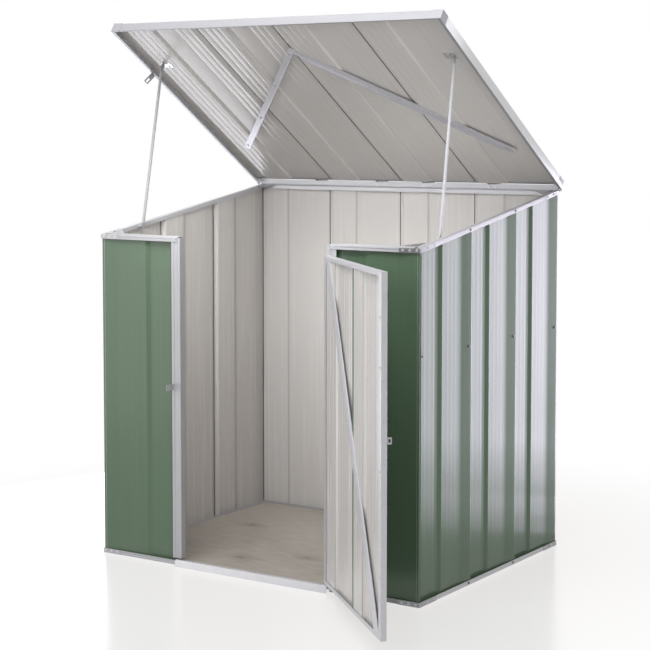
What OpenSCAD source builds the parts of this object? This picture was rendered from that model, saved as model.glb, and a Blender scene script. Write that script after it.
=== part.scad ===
// Metal storage shed with a lifting roof lid, a hinged front door and two folding lid props.
// Frame: X to the right seen from the front, Y to the back, Z up.
// The origin is the middle of the floor plan, at ground level. Lengths are in millimetres.

/* [Cladding sheets] */
// Cover width of one cladding sheet
panel_w = 345; // [320:1:380]
// Sheets across the back wall and the lid
panels_wide = 4; // [4:2:8]
// Sheets along each side wall
panels_deep = 3; // [2:1:5]
// Thickness of the sheet
sheet_t = 0.8; // [0.6:0.1:1.2]
// Top of the lap rib that runs on past the lap line
lap_lip = 5; // [3:0.5:8]
// Run of the slope from the lap rib down to the narrow pan
lap_drop = 8; // [6:0.5:14]
// Width of the narrow pan beside a lap
narrow_pan = 102; // [80:1:110]
// Run of the slope between the two pans
step_run = 24; // [16:1:30]
// Height of the wide pan over the narrow one
step_h = 7; // [3:0.5:8]
// Run of the slope from the wide pan up to the lap rib
lap_run = 17; // [14:1:24]
// Height of the lap rib over the narrow pan
lap_h = 14; // [10:0.5:14]
// Width of the top of the lap rib before the lap line
lap_crown = 30; // [20:1:36]
// Gap between neighbouring sheets at a lap
lap_gap = 0.3; // [0.2:0.1:0.6]

/* [Wall frame] */
// Height at the front, to the top of the rail
front_h = 1230; // [1170:5:1290]
// Height at the back, to the top of the rail
back_h = 1395; // [1335:5:1465]
// Width of the wall rails
rail_w = 30; // [26:1:36]
// Height of the top rails
top_rail_h = 16; // [14:1:24]
// Height of the base rails
base_rail_h = 17; // [15:1:26]
// Steel thickness of rails, jambs and lid edges
rail_t = 1.2; // [0.8:0.1:1.6]
// Assembly gap between pieces that slip into each other
fit_gap = 0.3; // [0.2:0.1:0.5]
// Length of a corner bracket along the side wall
side_arm = 115; // [90:1:130]
// Length of a corner bracket along the front or back wall
front_arm = 85; // [60:1:100]
// Length of the gusset plates inside the top corners
gusset = 60; // [40:1:80]
// Thickness of the corner brackets
bracket_t = 1; // [0.8:0.1:1.5]
// Thickness of the floor sheet
floor_t = 8; // [6:1:12]

/* [Doorway] */
// Width of each jamb
jamb_w = 40; // [34:1:46]
// Overlap of the closed door on each jamb
door_overlap = 28; // [24:1:32]
// Jamb edge that the rail ends leave bare
rail_end_set = 13; // [8:1:18]
// Reach of the threshold in front of the wall
threshold_reach = 24; // [15:1:30]
// Height of the threshold
threshold_h = 26; // [18:1:30]

/* [Door] */
// Angle that the door stands open
door_open = 137.9; // [90:0.1:165]
// Height of the door's bottom edge
door_z = 43; // [36:1:60]
// Height of the door's top edge below the front rail's top
door_top_set = 34; // [30:1:50]
// Thickness of the door
door_t = 20; // [18:1:24]
// Clearance behind the closed door
door_gap = 5; // [5:0.5:8]
// Frame reach past the sheets on each side
door_margin = 8; // [6:1:10]
// Face width of the stiles
stile_w = 25; // [20:1:30]
// Face height of the door's top and bottom rails
door_rail_h = 15; // [12:1:20]
// Width of the diagonal brace
door_brace_w = 50; // [40:1:56]
// Middle of the low hinge over the door's bottom edge
hinge_foot_set = 265; // [200:1:320]
// Middle of the high hinge under the door's top edge
hinge_head_set = 192; // [150:1:260]
// Height of one hinge
door_hinge_h = 76; // [60:1:90]
// Reach of a hinge leaf on the door
door_leaf_w = 40; // [30:1:50]
// Hinge pin in front of the door's outer face
pin_set = 2.5; // [2:0.5:3]
// Radius of the hinge knuckles
knuckle_r = 4; // [3.5:0.5:5]
// Thickness of the hinge leaves
leaf_t = 1.5; // [1:0.1:2]
// Height of the middle of the lock lugs
lock_z = 672; // [610:1:730]
// Reach of the lock lugs in front of the door
lug_reach = 15; // [14:1:24]
// Height of the lock lugs
lug_h = 22; // [20:1:34]
// Width of the slot in a lock lug
lug_slot_w = 7; // [5:1:8]
// Height of the slot in a lock lug
lug_slot_h = 11; // [8:1:13]
// Steel left around a slot in a lug or tab
lug_rim = 4; // [3:0.5:5]

/* [Lid] */
// Angle of the open lid over the horizontal
lid_open = 32.46; // [20:0.01:45]
// Reach of the lid past each side wall
lid_side_reach = 19.5; // [16:0.5:26]
// Reach of the closed lid past the front wall
lid_front_reach = 58; // [45:1:70]
// Depth of the lid's edge angles
edge_h = 35; // [30:1:38]
// Width of the top flange of the edge angles
edge_flange = 25; // [20:1:30]
// Hinge axis behind the back wall
hinge_back = 12.5; // [11:0.5:16]
// Hinge axis over the back rail
hinge_rise = 17; // [15:0.5:22]
// Lid top over the hinge axis
lid_rise = 6.2; // [5.5:0.1:8]
// Start of the lid in front of the hinge axis
lid_start = 21; // [20.5:0.5:24]
// Depth of the back edge, which stays over the back rail
back_edge_h = 15; // [10:0.5:15]
// Height of the back rail's upstand, which closes the gap under the open lid
upstand_h = 19; // [12:0.5:19]
// Clear length of the upstand beside each hinge
upstand_gap = 6; // [5:0.5:10]
// Places of the lid hinges on each side of the middle
lid_hinge_x = [110, 410];
// Width of one lid hinge
lid_hinge_w = 60; // [50:1:80]
// Reach of a hinge leaf on the lid
lid_leaf = 36; // [28:1:42]
// Distance of the brace apex from the lid's front
brace_apex = 183; // [150:1:260]
// Distance of the brace feet from the lid's back
brace_foot = 257; // [200:1:320]
// Distance of the brace feet from the lid's side edges
brace_side = 97; // [85:1:140]
// Width of a brace
brace_w = 25; // [20:1:32]
// Depth of a brace
brace_d = 12; // [8:1:14]
// Arm length of the lid's corner caps
cap_arm = 40; // [30:1:60]

/* [Props] */
// Radius of the prop rods
prop_r = 5.5; // [4:0.5:6]
// Prop foot behind the front of the wall
prop_foot_set = 202; // [160:1:260]
// Prop pivot behind the front of the lid
prop_top_set = 258; // [220:1:300]
// Prop pivot below the hinge axis plane of the lid
prop_drop = 24; // [23.5:0.5:28]
// Distance of the prop's foot plate from the side wall's rail
prop_foot_gap = 10; // [9:0.5:12]
// How far the top of a prop stands inside its foot
prop_lean = 9; // [6:1:20]
// Thickness of the flat prop ends
eye_t = 3; // [2:0.5:4]
// Radius of the flat prop ends
eye_r = 9; // [8:0.5:11]
// Radius of the pivot pins
pin_r = 3; // [2:0.5:4]
// Clearance around and beside the pivot pins
pin_gap = 0.5; // [0.3:0.1:0.8]
// Length of the flat end that joins an eye to its rod
tongue = 22; // [18:1:28]
// Width of the bracket's hanging ear
ear_w = 16; // [14:1:20]
// Length of the bracket's plate on the lid
bracket_l = 42; // [36:1:50]
// Thickness of the brackets and lugs
plate_t = 1.5; // [1.2:0.1:2]

/* [Lid lock tab] */
// Distance of the tab from the lid's front
tab_set = 298; // [240:1:400]
// Width of the tab
tab_w = 24; // [20:1:30]
// Length of the tab below the lid's edge
tab_l = 42; // [34:1:50]
// Outward lean of the tab
tab_lean = 31; // [15:1:40]

/* [Hidden] */
$fn = 48;
zinc = [0.80, 0.81, 0.84];
zinc_dark = [0.68, 0.69, 0.72];
green = [0.40, 0.48, 0.40];
ply = [0.60, 0.55, 0.49];
cut = 1;

w_all = panels_wide * panel_w + rail_w;
d_all = panels_deep * panel_w + rail_w;
wall_x = (w_all - rail_w) / 2;
wall_y = (d_all - rail_w) / 2;
in_x = w_all / 2 - rail_w;
in_y = d_all / 2 - rail_w;
pitch = atan2(back_h - front_h, d_all);

narrow_from = lap_lip + lap_drop;
step_from = narrow_from + narrow_pan;
wide_from = step_from + step_run;
crown_from = panel_w - lap_crown;
wide_to = crown_from - lap_run;
profile = [[0, lap_h], [lap_lip, lap_h], [narrow_from, 0], [step_from, 0], [wide_from, step_h],
           [wide_to, step_h], [crown_from, lap_h], [panel_w, lap_h]];
sheet_d = lap_h + sheet_t;
slip = rail_t + fit_gap;
face_x = w_all / 2 - 2 * slip;
face_y = d_all / 2 - 2 * slip;

door_w = 2 * (panel_w + door_margin);
doorway_w = door_w - 2 * door_overlap;
jamb_d = rail_w - 2 * slip;
jamb_out = doorway_w / 2 + jamb_w;
jamb_y = -d_all / 2 + slip;
rail_end = doorway_w / 2 + rail_end_set;
side_panels = panels_wide / 2 - 1;
corner_x = face_x - sheet_t - fit_gap;

door_top = front_h - door_top_set;
door_in = -d_all / 2 - door_gap;
door_out = door_in - door_t;
door_face = (door_in + door_out - sheet_d) / 2;
pin_x = door_w / 2 + knuckle_r + pin_gap;
pin_y = door_out - pin_set;
door_hinge_low = door_z + hinge_foot_set;
door_hinge_high = door_top - hinge_head_set;
door_hinge_z = [door_hinge_low, (door_hinge_low + door_hinge_high) / 2, door_hinge_high];

hinge_y = d_all / 2 + hinge_back;
hinge_z = back_h + hinge_rise;
lid_half = w_all / 2 + lid_side_reach;
lid_end = (hinge_y + d_all / 2 + lid_front_reach) / cos(pitch);
edge_low = lid_rise - edge_h;
sheet_top = lid_rise - rail_t;
sheet_low = sheet_top - sheet_d;

prop_foot_y = -d_all / 2 + prop_foot_set;
prop_foot_z = roof_z(prop_foot_y) - top_rail_h / 2;
prop_foot_x = in_x - prop_foot_gap;
prop_top_x = prop_foot_x - prop_lean;
prop_v = lid_end - prop_top_set;
tab_v = lid_end - tab_set;
prop_top_y = hinge_y - prop_v * cos(lid_open) - prop_drop * sin(lid_open);
prop_top_z = hinge_z + prop_v * sin(lid_open) - prop_drop * cos(lid_open);
prop_dy = prop_foot_y - prop_top_y;
prop_dz = prop_foot_z - prop_top_z;
prop_len = norm([prop_dy, prop_dz]);
prop_turn = atan2(prop_dy, -prop_dz);

function roof_z(y) = front_h + (y + d_all / 2) * tan(pitch);
function sheet_points(from, to) = concat(
    [[from, lookup(from, profile)]],
    [for (p = profile) if (p[0] > from && p[0] < to) p],
    [[to, lookup(to, profile)]]);

// Box given by its two corners
module block(low, high) {
    translate(low) cube(high - low);
}

// Outline in the YZ plane, drawn out along X
module yz_prism(points, x0, x1) {
    translate([x0, 0, 0]) rotate([90, 0, 90]) linear_extrude(x1 - x0) polygon(points);
}

// The other half of a pair, mirrored to the far side
module on_side(side) {
    if (side > 0) children();
    else mirror([1, 0, 0]) children();
}

// Section of one cladding sheet: run along X, with the lap rib's outer face at Y = 0
module sheet_section(from, to) {
    outer = sheet_points(from, to);
    inner = [for (i = [len(outer) - 1 : -1 : 0]) outer[i] - [0, sheet_t]];
    translate([0, -lap_h]) polygon(concat(outer, inner));
}

// Row of lapped sheets standing on the base rail, run along X, outer face to +Y
module sheet_row(count, height, before = 0, after = 0) {
    for (i = [0 : count - 1]) {
        from = i == 0 ? -before : lap_gap / 2;
        to = i == count - 1 ? panel_w + after : panel_w - lap_gap / 2;
        translate([i * panel_w, 0, rail_t]) linear_extrude(height - rail_t) sheet_section(from, to);
    }
}

// Everything under the roof slope, less a set-back
module under_roof(set) {
    far = d_all;
    yz_prism([[-far, -cut], [far, -cut], [far, roof_z(far) - set], [-far, roof_z(-far) - set]],
             -w_all, w_all);
}

// Open-topped channel along X
module base_channel(x0, x1, y0, y1) {
    difference() {
        block([x0, y0, 0], [x1, y1, base_rail_h]);
        block([x0 - cut, y0 + rail_t, rail_t], [x1 + cut, y1 - rail_t, base_rail_h + cut]);
    }
}

// Channel with its open side down, under the roof slope
module top_channel(x0, x1, y0, y1, along_y) {
    inset_x = along_y ? rail_t : -cut;
    inset_y = along_y ? -cut : rail_t;
    ya = y0 + inset_y;
    yb = y1 - inset_y;
    difference() {
        yz_prism([[y0, roof_z(y0) - top_rail_h], [y1, roof_z(y1) - top_rail_h],
                  [y1, roof_z(y1)], [y0, roof_z(y0)]], x0, x1);
        yz_prism([[ya, roof_z(ya) - top_rail_h - rail_w], [yb, roof_z(yb) - top_rail_h - rail_w],
                  [yb, roof_z(yb) - rail_t], [ya, roof_z(ya) - rail_t]], x0 + inset_x, x1 - inset_x);
    }
}

module floor_sheet() {
    color(ply) block([-in_x + fit_gap, -in_y + fit_gap, 0], [in_x - fit_gap, in_y - fit_gap, floor_t]);
}

// Notches in a side rail's inner flange, where the front and back sheets pass into the corners
module corner_notches(z0, z1) {
    for (end = [0, 1]) mirror([0, end, 0])
        block([in_x - cut, in_y, z0], [in_x + rail_t + cut, d_all, z1]);
}

module base_rail_side(side) {
    color(zinc) on_side(side) difference() {
        block([in_x, -d_all / 2, 0], [w_all / 2, d_all / 2, base_rail_h]);
        block([in_x + rail_t, -d_all, rail_t], [w_all / 2 - rail_t, d_all, base_rail_h + cut]);
        corner_notches(rail_t, base_rail_h + cut);
    }
}

module base_rail_back() {
    color(zinc) base_channel(-in_x, in_x, in_y, d_all / 2);
}

module base_rail_front(side) {
    color(zinc) on_side(side) base_channel(rail_end, in_x, -d_all / 2, -in_y);
}

module door_threshold() {
    front = -d_all / 2 - threshold_reach;
    color(zinc) difference() {
        block([-rail_end, front, 0], [rail_end, -in_y, threshold_h]);
        block([-rail_end - cut, front + rail_t, -cut], [rail_end + cut, -in_y - rail_t, threshold_h - rail_t]);
    }
}

module top_rail_side(side) {
    color(zinc) on_side(side) difference() {
        top_channel(in_x, w_all / 2, -d_all / 2, d_all / 2, true);
        intersection() {
            corner_notches(0, back_h);
            under_roof(rail_t);
        }
    }
}

// Back rail with an upstand along its outer face, cut away at the hinges
module top_rail_back() {
    color(zinc) {
        top_channel(-in_x, in_x, in_y, d_all / 2, false);
        difference() {
            block([-in_x, d_all / 2 - rail_t, back_h - top_rail_h], [in_x, d_all / 2, back_h + upstand_h]);
            for (x = lid_hinge_x, side = [-1, 1]) translate([side * x, 0, 0])
                block([-lid_hinge_w / 2 - upstand_gap, 0, back_h - rail_t / 2],
                      [lid_hinge_w / 2 + upstand_gap, d_all, back_h + 2 * upstand_h]);
        }
    }
}

module top_rail_front(side) {
    color(zinc) on_side(side) top_channel(rail_end, in_x, -d_all / 2, -in_y, false);
}

// Plate folded around the outside of the right back corner
module corner_fold(height) {
    difference() {
        block([w_all / 2 - front_arm, d_all / 2 - side_arm, 0],
              [w_all / 2 + bracket_t, d_all / 2 + bracket_t, height]);
        block([0, 0, -cut], [w_all / 2, d_all / 2, height + cut]);
    }
}

// Folded plates around the four top corners, and gusset plates inside them, level with the rails' tops
module top_corner_brackets() {
    color(zinc) for (side = [-1, 1], end = [0, 1]) on_side(side) {
        difference() {
            intersection() {
                mirror([0, end, 0]) corner_fold(2 * back_h);
                under_roof(0);
            }
            under_roof(top_rail_h);
        }
        difference() {
            intersection() {
                mirror([0, end, 0]) linear_extrude(2 * back_h)
                    polygon([[in_x, in_y], [in_x - gusset, in_y], [in_x, in_y - gusset]]);
                under_roof(0);
            }
            under_roof(rail_t);
        }
    }
}

// Folded plates around the outside of the four base corners
module base_corner_brackets() {
    color(zinc) for (side = [-1, 1], end = [0, 1]) on_side(side)
        mirror([0, end, 0]) corner_fold(base_rail_h);
}

// Side wall: the sheets run from the front to the back and close both corners
module side_wall_sheets(side) {
    over = face_y - wall_y;
    color(green) on_side(side) intersection() {
        mirror([1, 0, 0]) translate([-face_x, -wall_y, 0]) rotate([0, 0, 90])
            sheet_row(panels_deep, back_h, over, over);
        under_roof(slip);
    }
}

module back_wall_sheets() {
    height = roof_z(in_y) - slip;
    over = corner_x - wall_x;
    color(green) translate([-wall_x, face_y, 0]) sheet_row(panels_wide, height, over, over);
}

// Front sheets run from the jamb to the corner
module front_sheet(side) {
    color(green) on_side(-side) translate([-panel_w, -face_y, 0]) rotate([0, 0, 180])
        sheet_row(side_panels, front_h - slip, 0, corner_x - wall_x);
}

// Jamb channel, open towards the front sheet
module jamb(side) {
    color(zinc_dark) on_side(side) difference() {
        block([doorway_w / 2, jamb_y, threshold_h], [jamb_out, jamb_y + jamb_d, front_h - rail_t]);
        block([doorway_w / 2 + rail_t, jamb_y + rail_t, 0], [jamb_out + cut, jamb_y + jamb_d - rail_t, front_h]);
    }
}

// Upright lug plate with a slot, standing forward of y_from
module lug(x0, y_from, reach, z_mid) {
    difference() {
        block([x0, y_from - reach, z_mid - lug_h / 2], [x0 + plate_t, y_from, z_mid + lug_h / 2]);
        block([x0 - cut, y_from - reach + lug_rim, z_mid - lug_slot_h / 2],
              [x0 + plate_t + cut, y_from - reach + lug_rim + lug_slot_w, z_mid + lug_slot_h / 2]);
    }
}

// Padlock lugs: one on the left jamb for the door, one on the left rail for the lid
module wall_lock_lugs() {
    lug_x = -door_w / 2 - door_gap - plate_t;
    foot_y = jamb_y - plate_t;
    color(zinc) {
        lug(lug_x, jamb_y, jamb_y - door_out + lug_reach, lock_z);
        block([lug_x, foot_y, lock_z - lug_h / 2], [-doorway_w / 2 - plate_t, jamb_y, lock_z + lug_h / 2]);
        y_lug = hinge_y - tab_v * cos(pitch) + tab_w;
        z_lug = roof_z(y_lug) - top_rail_h;
        x_lug = -w_all / 2 - 2 * lid_side_reach;
        block([-w_all / 2 - plate_t, y_lug, z_lug - tab_w], [-w_all / 2, y_lug + tab_w, z_lug + top_rail_h / 2]);
        difference() {
            block([x_lug, y_lug, z_lug - tab_w], [-w_all / 2, y_lug + plate_t, z_lug]);
            block([x_lug + lug_rim, y_lug - cut, z_lug - tab_w + lug_rim],
                  [-w_all / 2 - lid_side_reach, y_lug + plate_t + cut, z_lug - lug_rim]);
        }
    }
}

// Studs on the inner faces of the side rails, which hold the prop feet
module prop_studs() {
    color(zinc_dark) for (side = [-1, 1]) on_side(side)
        translate([prop_foot_x + eye_t / 2 + pin_gap, prop_foot_y, prop_foot_z]) rotate([0, 90, 0])
            cylinder(r = pin_r, h = in_x - prop_foot_x - eye_t / 2 - pin_gap);
}

// Hinge leaves on the back rail, each with the middle knuckle
module lid_hinge_wall_leaves() {
    half = lid_hinge_w / 2;
    mid = lid_hinge_w / 4;
    low = roof_z(d_all / 2) - top_rail_h;
    face = d_all / 2;
    color(zinc_dark) for (x = lid_hinge_x, side = [-1, 1]) translate([side * x, 0, 0]) {
        block([-half, face, low], [half, face + leaf_t, back_h]);
        block([-mid, face, low], [mid, face + leaf_t, hinge_z]);
        block([-mid, face, hinge_z - leaf_t], [mid, hinge_y, hinge_z]);
        translate([-mid, hinge_y, hinge_z]) rotate([0, 90, 0]) cylinder(r = knuckle_r, h = 2 * mid);
    }
}

// Hinge leaves on the right jamb, each with the middle knuckle
module door_hinge_jamb_leaves() {
    color(zinc_dark) for (z = door_hinge_z) translate([0, 0, z]) {
        half = door_hinge_h / 2;
        mid = door_hinge_h / 6;
        strap = pin_x + knuckle_r / 2;
        block([doorway_w / 2 + plate_t, jamb_y - leaf_t, -half], [strap + leaf_t, jamb_y, half]);
        block([strap, pin_y, -mid], [strap + leaf_t, jamb_y, mid]);
        translate([pin_x, pin_y, -mid]) cylinder(r = knuckle_r, h = 2 * mid);
    }
}

// Lid space: hinge axis at the origin, -Y towards the lid's front, Z out of its top
module on_lid() {
    translate([0, hinge_y, hinge_z]) rotate([-lid_open, 0, 0]) children();
}

module lid_sheets() {
    over = lid_half - slip - wall_x;
    length = lid_end - lid_start - 2 * slip;
    color(green) on_lid() translate([-wall_x, -lid_start - slip, sheet_top])
        rotate([90, 0, 0]) translate([0, 0, -rail_t]) sheet_row(panels_wide, length + rail_t, over, over);
}

module lid_side_edge(side) {
    color(zinc) on_lid() on_side(side) {
        block([lid_half - rail_t, -lid_end, edge_low], [lid_half, -lid_start, lid_rise]);
        block([lid_half - edge_flange, -lid_end, sheet_top], [lid_half, -lid_start, lid_rise]);
    }
}

module lid_front_edge() {
    color(zinc) on_lid() {
        block([-lid_half + rail_t, -lid_end, edge_low], [lid_half - rail_t, -lid_end + rail_t, sheet_top]);
        block([-lid_half + edge_flange, -lid_end, sheet_top],
              [lid_half - edge_flange, -lid_end + edge_flange, lid_rise]);
    }
}

module lid_back_edge() {
    color(zinc) on_lid() {
        block([-lid_half + rail_t, -lid_start - rail_t, lid_rise - back_edge_h],
              [lid_half - rail_t, -lid_start, sheet_top]);
        block([-lid_half + edge_flange, -lid_start - edge_flange, sheet_top],
              [lid_half - edge_flange, -lid_start, lid_rise]);
    }
}

// Angle-section brace from the middle of the lid's front to a back corner
module lid_brace(side) {
    apex = [0, -lid_end + brace_apex];
    foot = [lid_half - brace_side, -lid_start - brace_foot];
    run = foot - apex;
    color(zinc) on_lid() on_side(side) intersection() {
        translate([apex[0], apex[1], 0]) rotate([0, 0, atan2(run[1], run[0])]) {
            block([-brace_w, -brace_w / 2, sheet_low - plate_t], [norm(run), brace_w / 2, sheet_low]);
            block([-brace_w, brace_w / 2 - plate_t, sheet_low - brace_d], [norm(run), brace_w / 2, sheet_low]);
        }
        block([fit_gap / 2, -lid_end, -edge_h], [lid_half, 0, edge_h]);
    }
}

// Brackets with a hanging ear and a pivot pin for each prop
module lid_prop_brackets() {
    ear_x = prop_top_x - eye_t / 2 - pin_gap - plate_t;
    color(zinc_dark) for (side = [-1, 1]) on_lid() on_side(side) {
        seat = side > 0 ? sheet_low + step_h : sheet_low;
        block([ear_x + plate_t - bracket_l, -prop_v - ear_w, seat - plate_t],
              [ear_x + plate_t, -prop_v + ear_w, seat]);
        block([ear_x, -prop_v - ear_w / 2, -prop_drop - ear_w / 2], [ear_x + plate_t, -prop_v + ear_w / 2, seat]);
        translate([ear_x, -prop_v, -prop_drop]) rotate([0, 90, 0])
            cylinder(r = pin_r, h = 2 * plate_t + 2 * pin_gap + eye_t);
    }
}

// Slotted lock tab on the lid's left edge
module lid_lock_tab() {
    color(zinc) on_lid() translate([-lid_half, -tab_v, edge_low]) {
        block([-plate_t, -tab_w / 2, 0], [0, tab_w / 2, edge_h / 2]);
        rotate([0, tab_lean, 0]) difference() {
            block([-plate_t, -tab_w / 2, -tab_l], [0, tab_w / 2, 0]);
            block([-plate_t - cut, -tab_w / 4, -tab_l + lug_rim], [cut, tab_w / 4, -tab_l / 2]);
        }
    }
}

// Folded caps around the four corners of the lid
module lid_corner_caps() {
    color(zinc) on_lid() for (side = [-1, 1], front = [true, false]) on_side(side) {
        y_face = front ? -lid_end : -lid_start;
        out = front ? -1 : 1;
        low = front ? edge_low : lid_rise - back_edge_h;
        ya = min(y_face + out * bracket_t, y_face - out * cap_arm);
        yb = max(y_face + out * bracket_t, y_face - out * cap_arm);
        difference() {
            block([lid_half - cap_arm, ya, low], [lid_half + bracket_t, yb, lid_rise + bracket_t]);
            block([0, -lid_end, -2 * edge_h], [lid_half, -lid_start, lid_rise]);
        }
    }
}

// Hinge leaves on the lid, each with the two outer knuckles
module lid_hinge_lid_leaves() {
    half = lid_hinge_w / 2;
    mid = lid_hinge_w / 4 + pin_gap;
    color(zinc_dark) on_lid() for (x = lid_hinge_x, side = [-1, 1]) translate([side * x, 0, 0]) {
        block([-half, -lid_start - lid_leaf, lid_rise], [half, 0, lid_rise + leaf_t]);
        for (end = [-half, mid]) {
            block([end, -leaf_t / 2, 0], [end + half - mid, leaf_t / 2, lid_rise + leaf_t]);
            translate([end, 0, 0]) rotate([0, 90, 0]) cylinder(r = knuckle_r, h = half - mid);
        }
    }
}

// Rod with a flat eye at each end; the top eye is bored for the pivot pin
module prop(side) {
    rod_len = prop_len - 2 * eye_r - 2 * pin_r;
    rod_lean = asin(prop_lean / prop_len);
    color(zinc) on_side(side) translate([0, prop_top_y, prop_top_z]) rotate([prop_turn, 0, 0]) {
        translate([(prop_top_x + prop_foot_x) / 2, 0, -prop_len / 2]) rotate([0, -rod_lean, 0])
            cylinder(r = prop_r, h = rod_len, center = true);
        difference() {
            union() {
                prop_end(prop_top_x);
                block([prop_top_x - eye_t / 2, -prop_r, -tongue], [prop_top_x + eye_t / 2, prop_r, 0]);
            }
            translate([prop_top_x - eye_t, 0, 0]) rotate([0, 90, 0])
                cylinder(r = pin_r + pin_gap, h = 2 * eye_t);
        }
        translate([0, 0, -prop_len]) {
            prop_end(prop_foot_x);
            block([prop_foot_x - eye_t / 2, -prop_r, 0], [prop_foot_x + eye_t / 2, prop_r, tongue]);
        }
    }
}

module prop_end(x) {
    translate([x - eye_t / 2, 0, 0]) rotate([0, 90, 0]) cylinder(r = eye_r, h = eye_t);
}

// Door space: the door as it stands closed, turned open about its hinge pins
module on_door() {
    translate([pin_x, pin_y, 0]) rotate([0, 0, door_open]) translate([-pin_x, -pin_y, 0]) children();
}

module door_sheets() {
    color(green) on_door() translate([panel_w, door_face, door_z]) rotate([0, 0, 180])
        sheet_row(2, door_top - door_z - slip);
}

// Channel along the door's top or bottom edge, open towards the sheets
module door_rail(z0, opens_up) {
    x_end = door_w / 2 - stile_w;
    z_cut = opens_up ? rail_t : -cut;
    color(zinc) on_door() difference() {
        block([-x_end, door_out, z0], [x_end, door_in, z0 + door_rail_h]);
        block([-x_end - cut, door_out + rail_t, z0 + z_cut],
              [x_end + cut, door_in - rail_t, z0 + z_cut + door_rail_h - rail_t + cut]);
    }
}

// Channel along the door's side edge, open towards the sheets
module door_stile(side) {
    color(zinc) on_door() on_side(side) difference() {
        block([door_w / 2 - stile_w, door_out, door_z], [door_w / 2, door_in, door_top]);
        block([0, door_out + rail_t, door_z + rail_t], [door_w / 2 - rail_t, door_in - rail_t, door_top - rail_t]);
    }
}

// Flat diagonal strip on the inside, from the top hinge corner to the bottom free corner
module door_brace() {
    x_end = door_w / 2 - stile_w - fit_gap;
    z_low = door_z + door_rail_h + fit_gap;
    z_high = door_top - door_rail_h - fit_gap;
    run = [2 * x_end - door_brace_w, z_high - z_low];
    face = door_face + sheet_d;
    color(zinc) on_door() intersection() {
        translate([0, face, (z_low + z_high) / 2]) rotate([0, -atan2(run[1], run[0]), 0])
            block([-norm(run), 0, -door_brace_w / 2], [norm(run), door_in - face, door_brace_w / 2]);
        block([-x_end, face, z_low], [x_end, door_in, z_high]);
    }
}

module door_lock_lug() {
    lug_x = -door_w / 2;
    color(zinc) on_door() {
        lug(lug_x, door_out, lug_reach, lock_z);
        block([lug_x, door_out - plate_t, lock_z - lug_h / 2],
              [lug_x + door_leaf_w, door_out, lock_z + lug_h / 2]);
    }
}

// Hinge leaves on the door's outer face, each with the two outer knuckles
module door_hinge_door_leaves() {
    half = door_hinge_h / 2;
    mid = door_hinge_h / 6 + pin_gap;
    color(zinc_dark) on_door() for (z = door_hinge_z) translate([0, 0, z]) {
        block([door_w / 2 - door_leaf_w, door_out - leaf_t, -half], [door_w / 2, door_out, half]);
        for (end = [-half, mid]) {
            block([door_w / 2 - door_leaf_w, door_out - leaf_t, end], [pin_x, door_out, end + half - mid]);
            translate([pin_x, pin_y, end]) cylinder(r = knuckle_r, h = half - mid);
        }
    }
}

floor_sheet();
base_rail_side(-1);  // base_rail_left
base_rail_side(1);  // base_rail_right
base_rail_back();
base_rail_front(-1);  // base_rail_front_left
base_rail_front(1);  // base_rail_front_right
door_threshold();
top_rail_side(-1);  // top_rail_left
top_rail_side(1);  // top_rail_right
top_rail_back();
top_rail_front(-1);  // top_rail_front_left
top_rail_front(1);  // top_rail_front_right
top_corner_brackets();
base_corner_brackets();
side_wall_sheets(-1);  // left_wall_sheets
side_wall_sheets(1);  // right_wall_sheets
back_wall_sheets();
front_sheet(-1);  // front_left_sheet
front_sheet(1);  // front_right_sheet
jamb(-1);  // left_jamb
jamb(1);  // right_jamb
wall_lock_lugs();
prop_studs();
lid_hinge_wall_leaves();
door_hinge_jamb_leaves();
lid_sheets();
lid_side_edge(-1);  // lid_left_edge
lid_side_edge(1);  // lid_right_edge
lid_front_edge();
lid_back_edge();
lid_brace(-1);  // lid_brace_left
lid_brace(1);  // lid_brace_right
lid_prop_brackets();
lid_lock_tab();
lid_corner_caps();
lid_hinge_lid_leaves();
prop(-1);  // left_prop
prop(1);  // right_prop
door_sheets();
door_rail(door_top - door_rail_h, false);  // door_top_rail
door_rail(door_z, true);  // door_bottom_rail
door_stile(1);  // door_hinge_stile
door_stile(-1);  // door_latch_stile
door_brace();
door_lock_lug();
door_hinge_door_leaves();
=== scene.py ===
"""Metal storage shed with a lifting lid: its looks, in the shared frame (metres, X right, Y back, Z up)."""

import logging
import math
from dataclasses import dataclass, field
from enum import Enum
from typing import Callable, ClassVar, Sequence

import bmesh
import bpy
from bpy.types import GeometryNodeTree, Material, Node, NodeSocket, NodeTree
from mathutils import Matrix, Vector


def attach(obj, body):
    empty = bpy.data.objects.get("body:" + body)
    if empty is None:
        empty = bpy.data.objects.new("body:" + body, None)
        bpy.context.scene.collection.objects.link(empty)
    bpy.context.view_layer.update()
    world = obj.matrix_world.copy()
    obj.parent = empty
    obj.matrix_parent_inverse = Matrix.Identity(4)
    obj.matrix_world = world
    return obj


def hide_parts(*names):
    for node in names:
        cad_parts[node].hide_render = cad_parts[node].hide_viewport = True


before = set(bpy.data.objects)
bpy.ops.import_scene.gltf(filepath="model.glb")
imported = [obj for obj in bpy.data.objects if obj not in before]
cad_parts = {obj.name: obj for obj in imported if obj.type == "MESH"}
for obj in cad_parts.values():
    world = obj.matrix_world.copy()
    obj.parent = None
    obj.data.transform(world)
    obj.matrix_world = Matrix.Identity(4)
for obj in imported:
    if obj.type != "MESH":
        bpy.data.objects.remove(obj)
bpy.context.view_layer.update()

LOG = logging.getLogger("shed")

Point2 = tuple[float, float]
Point3 = tuple[float, float, float]
Colour = tuple[float, float, float]
Place = Callable[[float, float, float], Vector]

WHITE = (1.0, 1.0, 1.0)
UP = Vector((0, 0, 1))
BACK = Vector((0, 1, 0))
ENDS = (-1, 1)


class Side(Enum):
    """The two sides of the shed, as the sign of X."""

    LEFT = -1
    RIGHT = 1

    @property
    def word(self) -> str:
        """The side as it stands in the nodes' names."""
        return self.name.lower()


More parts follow.
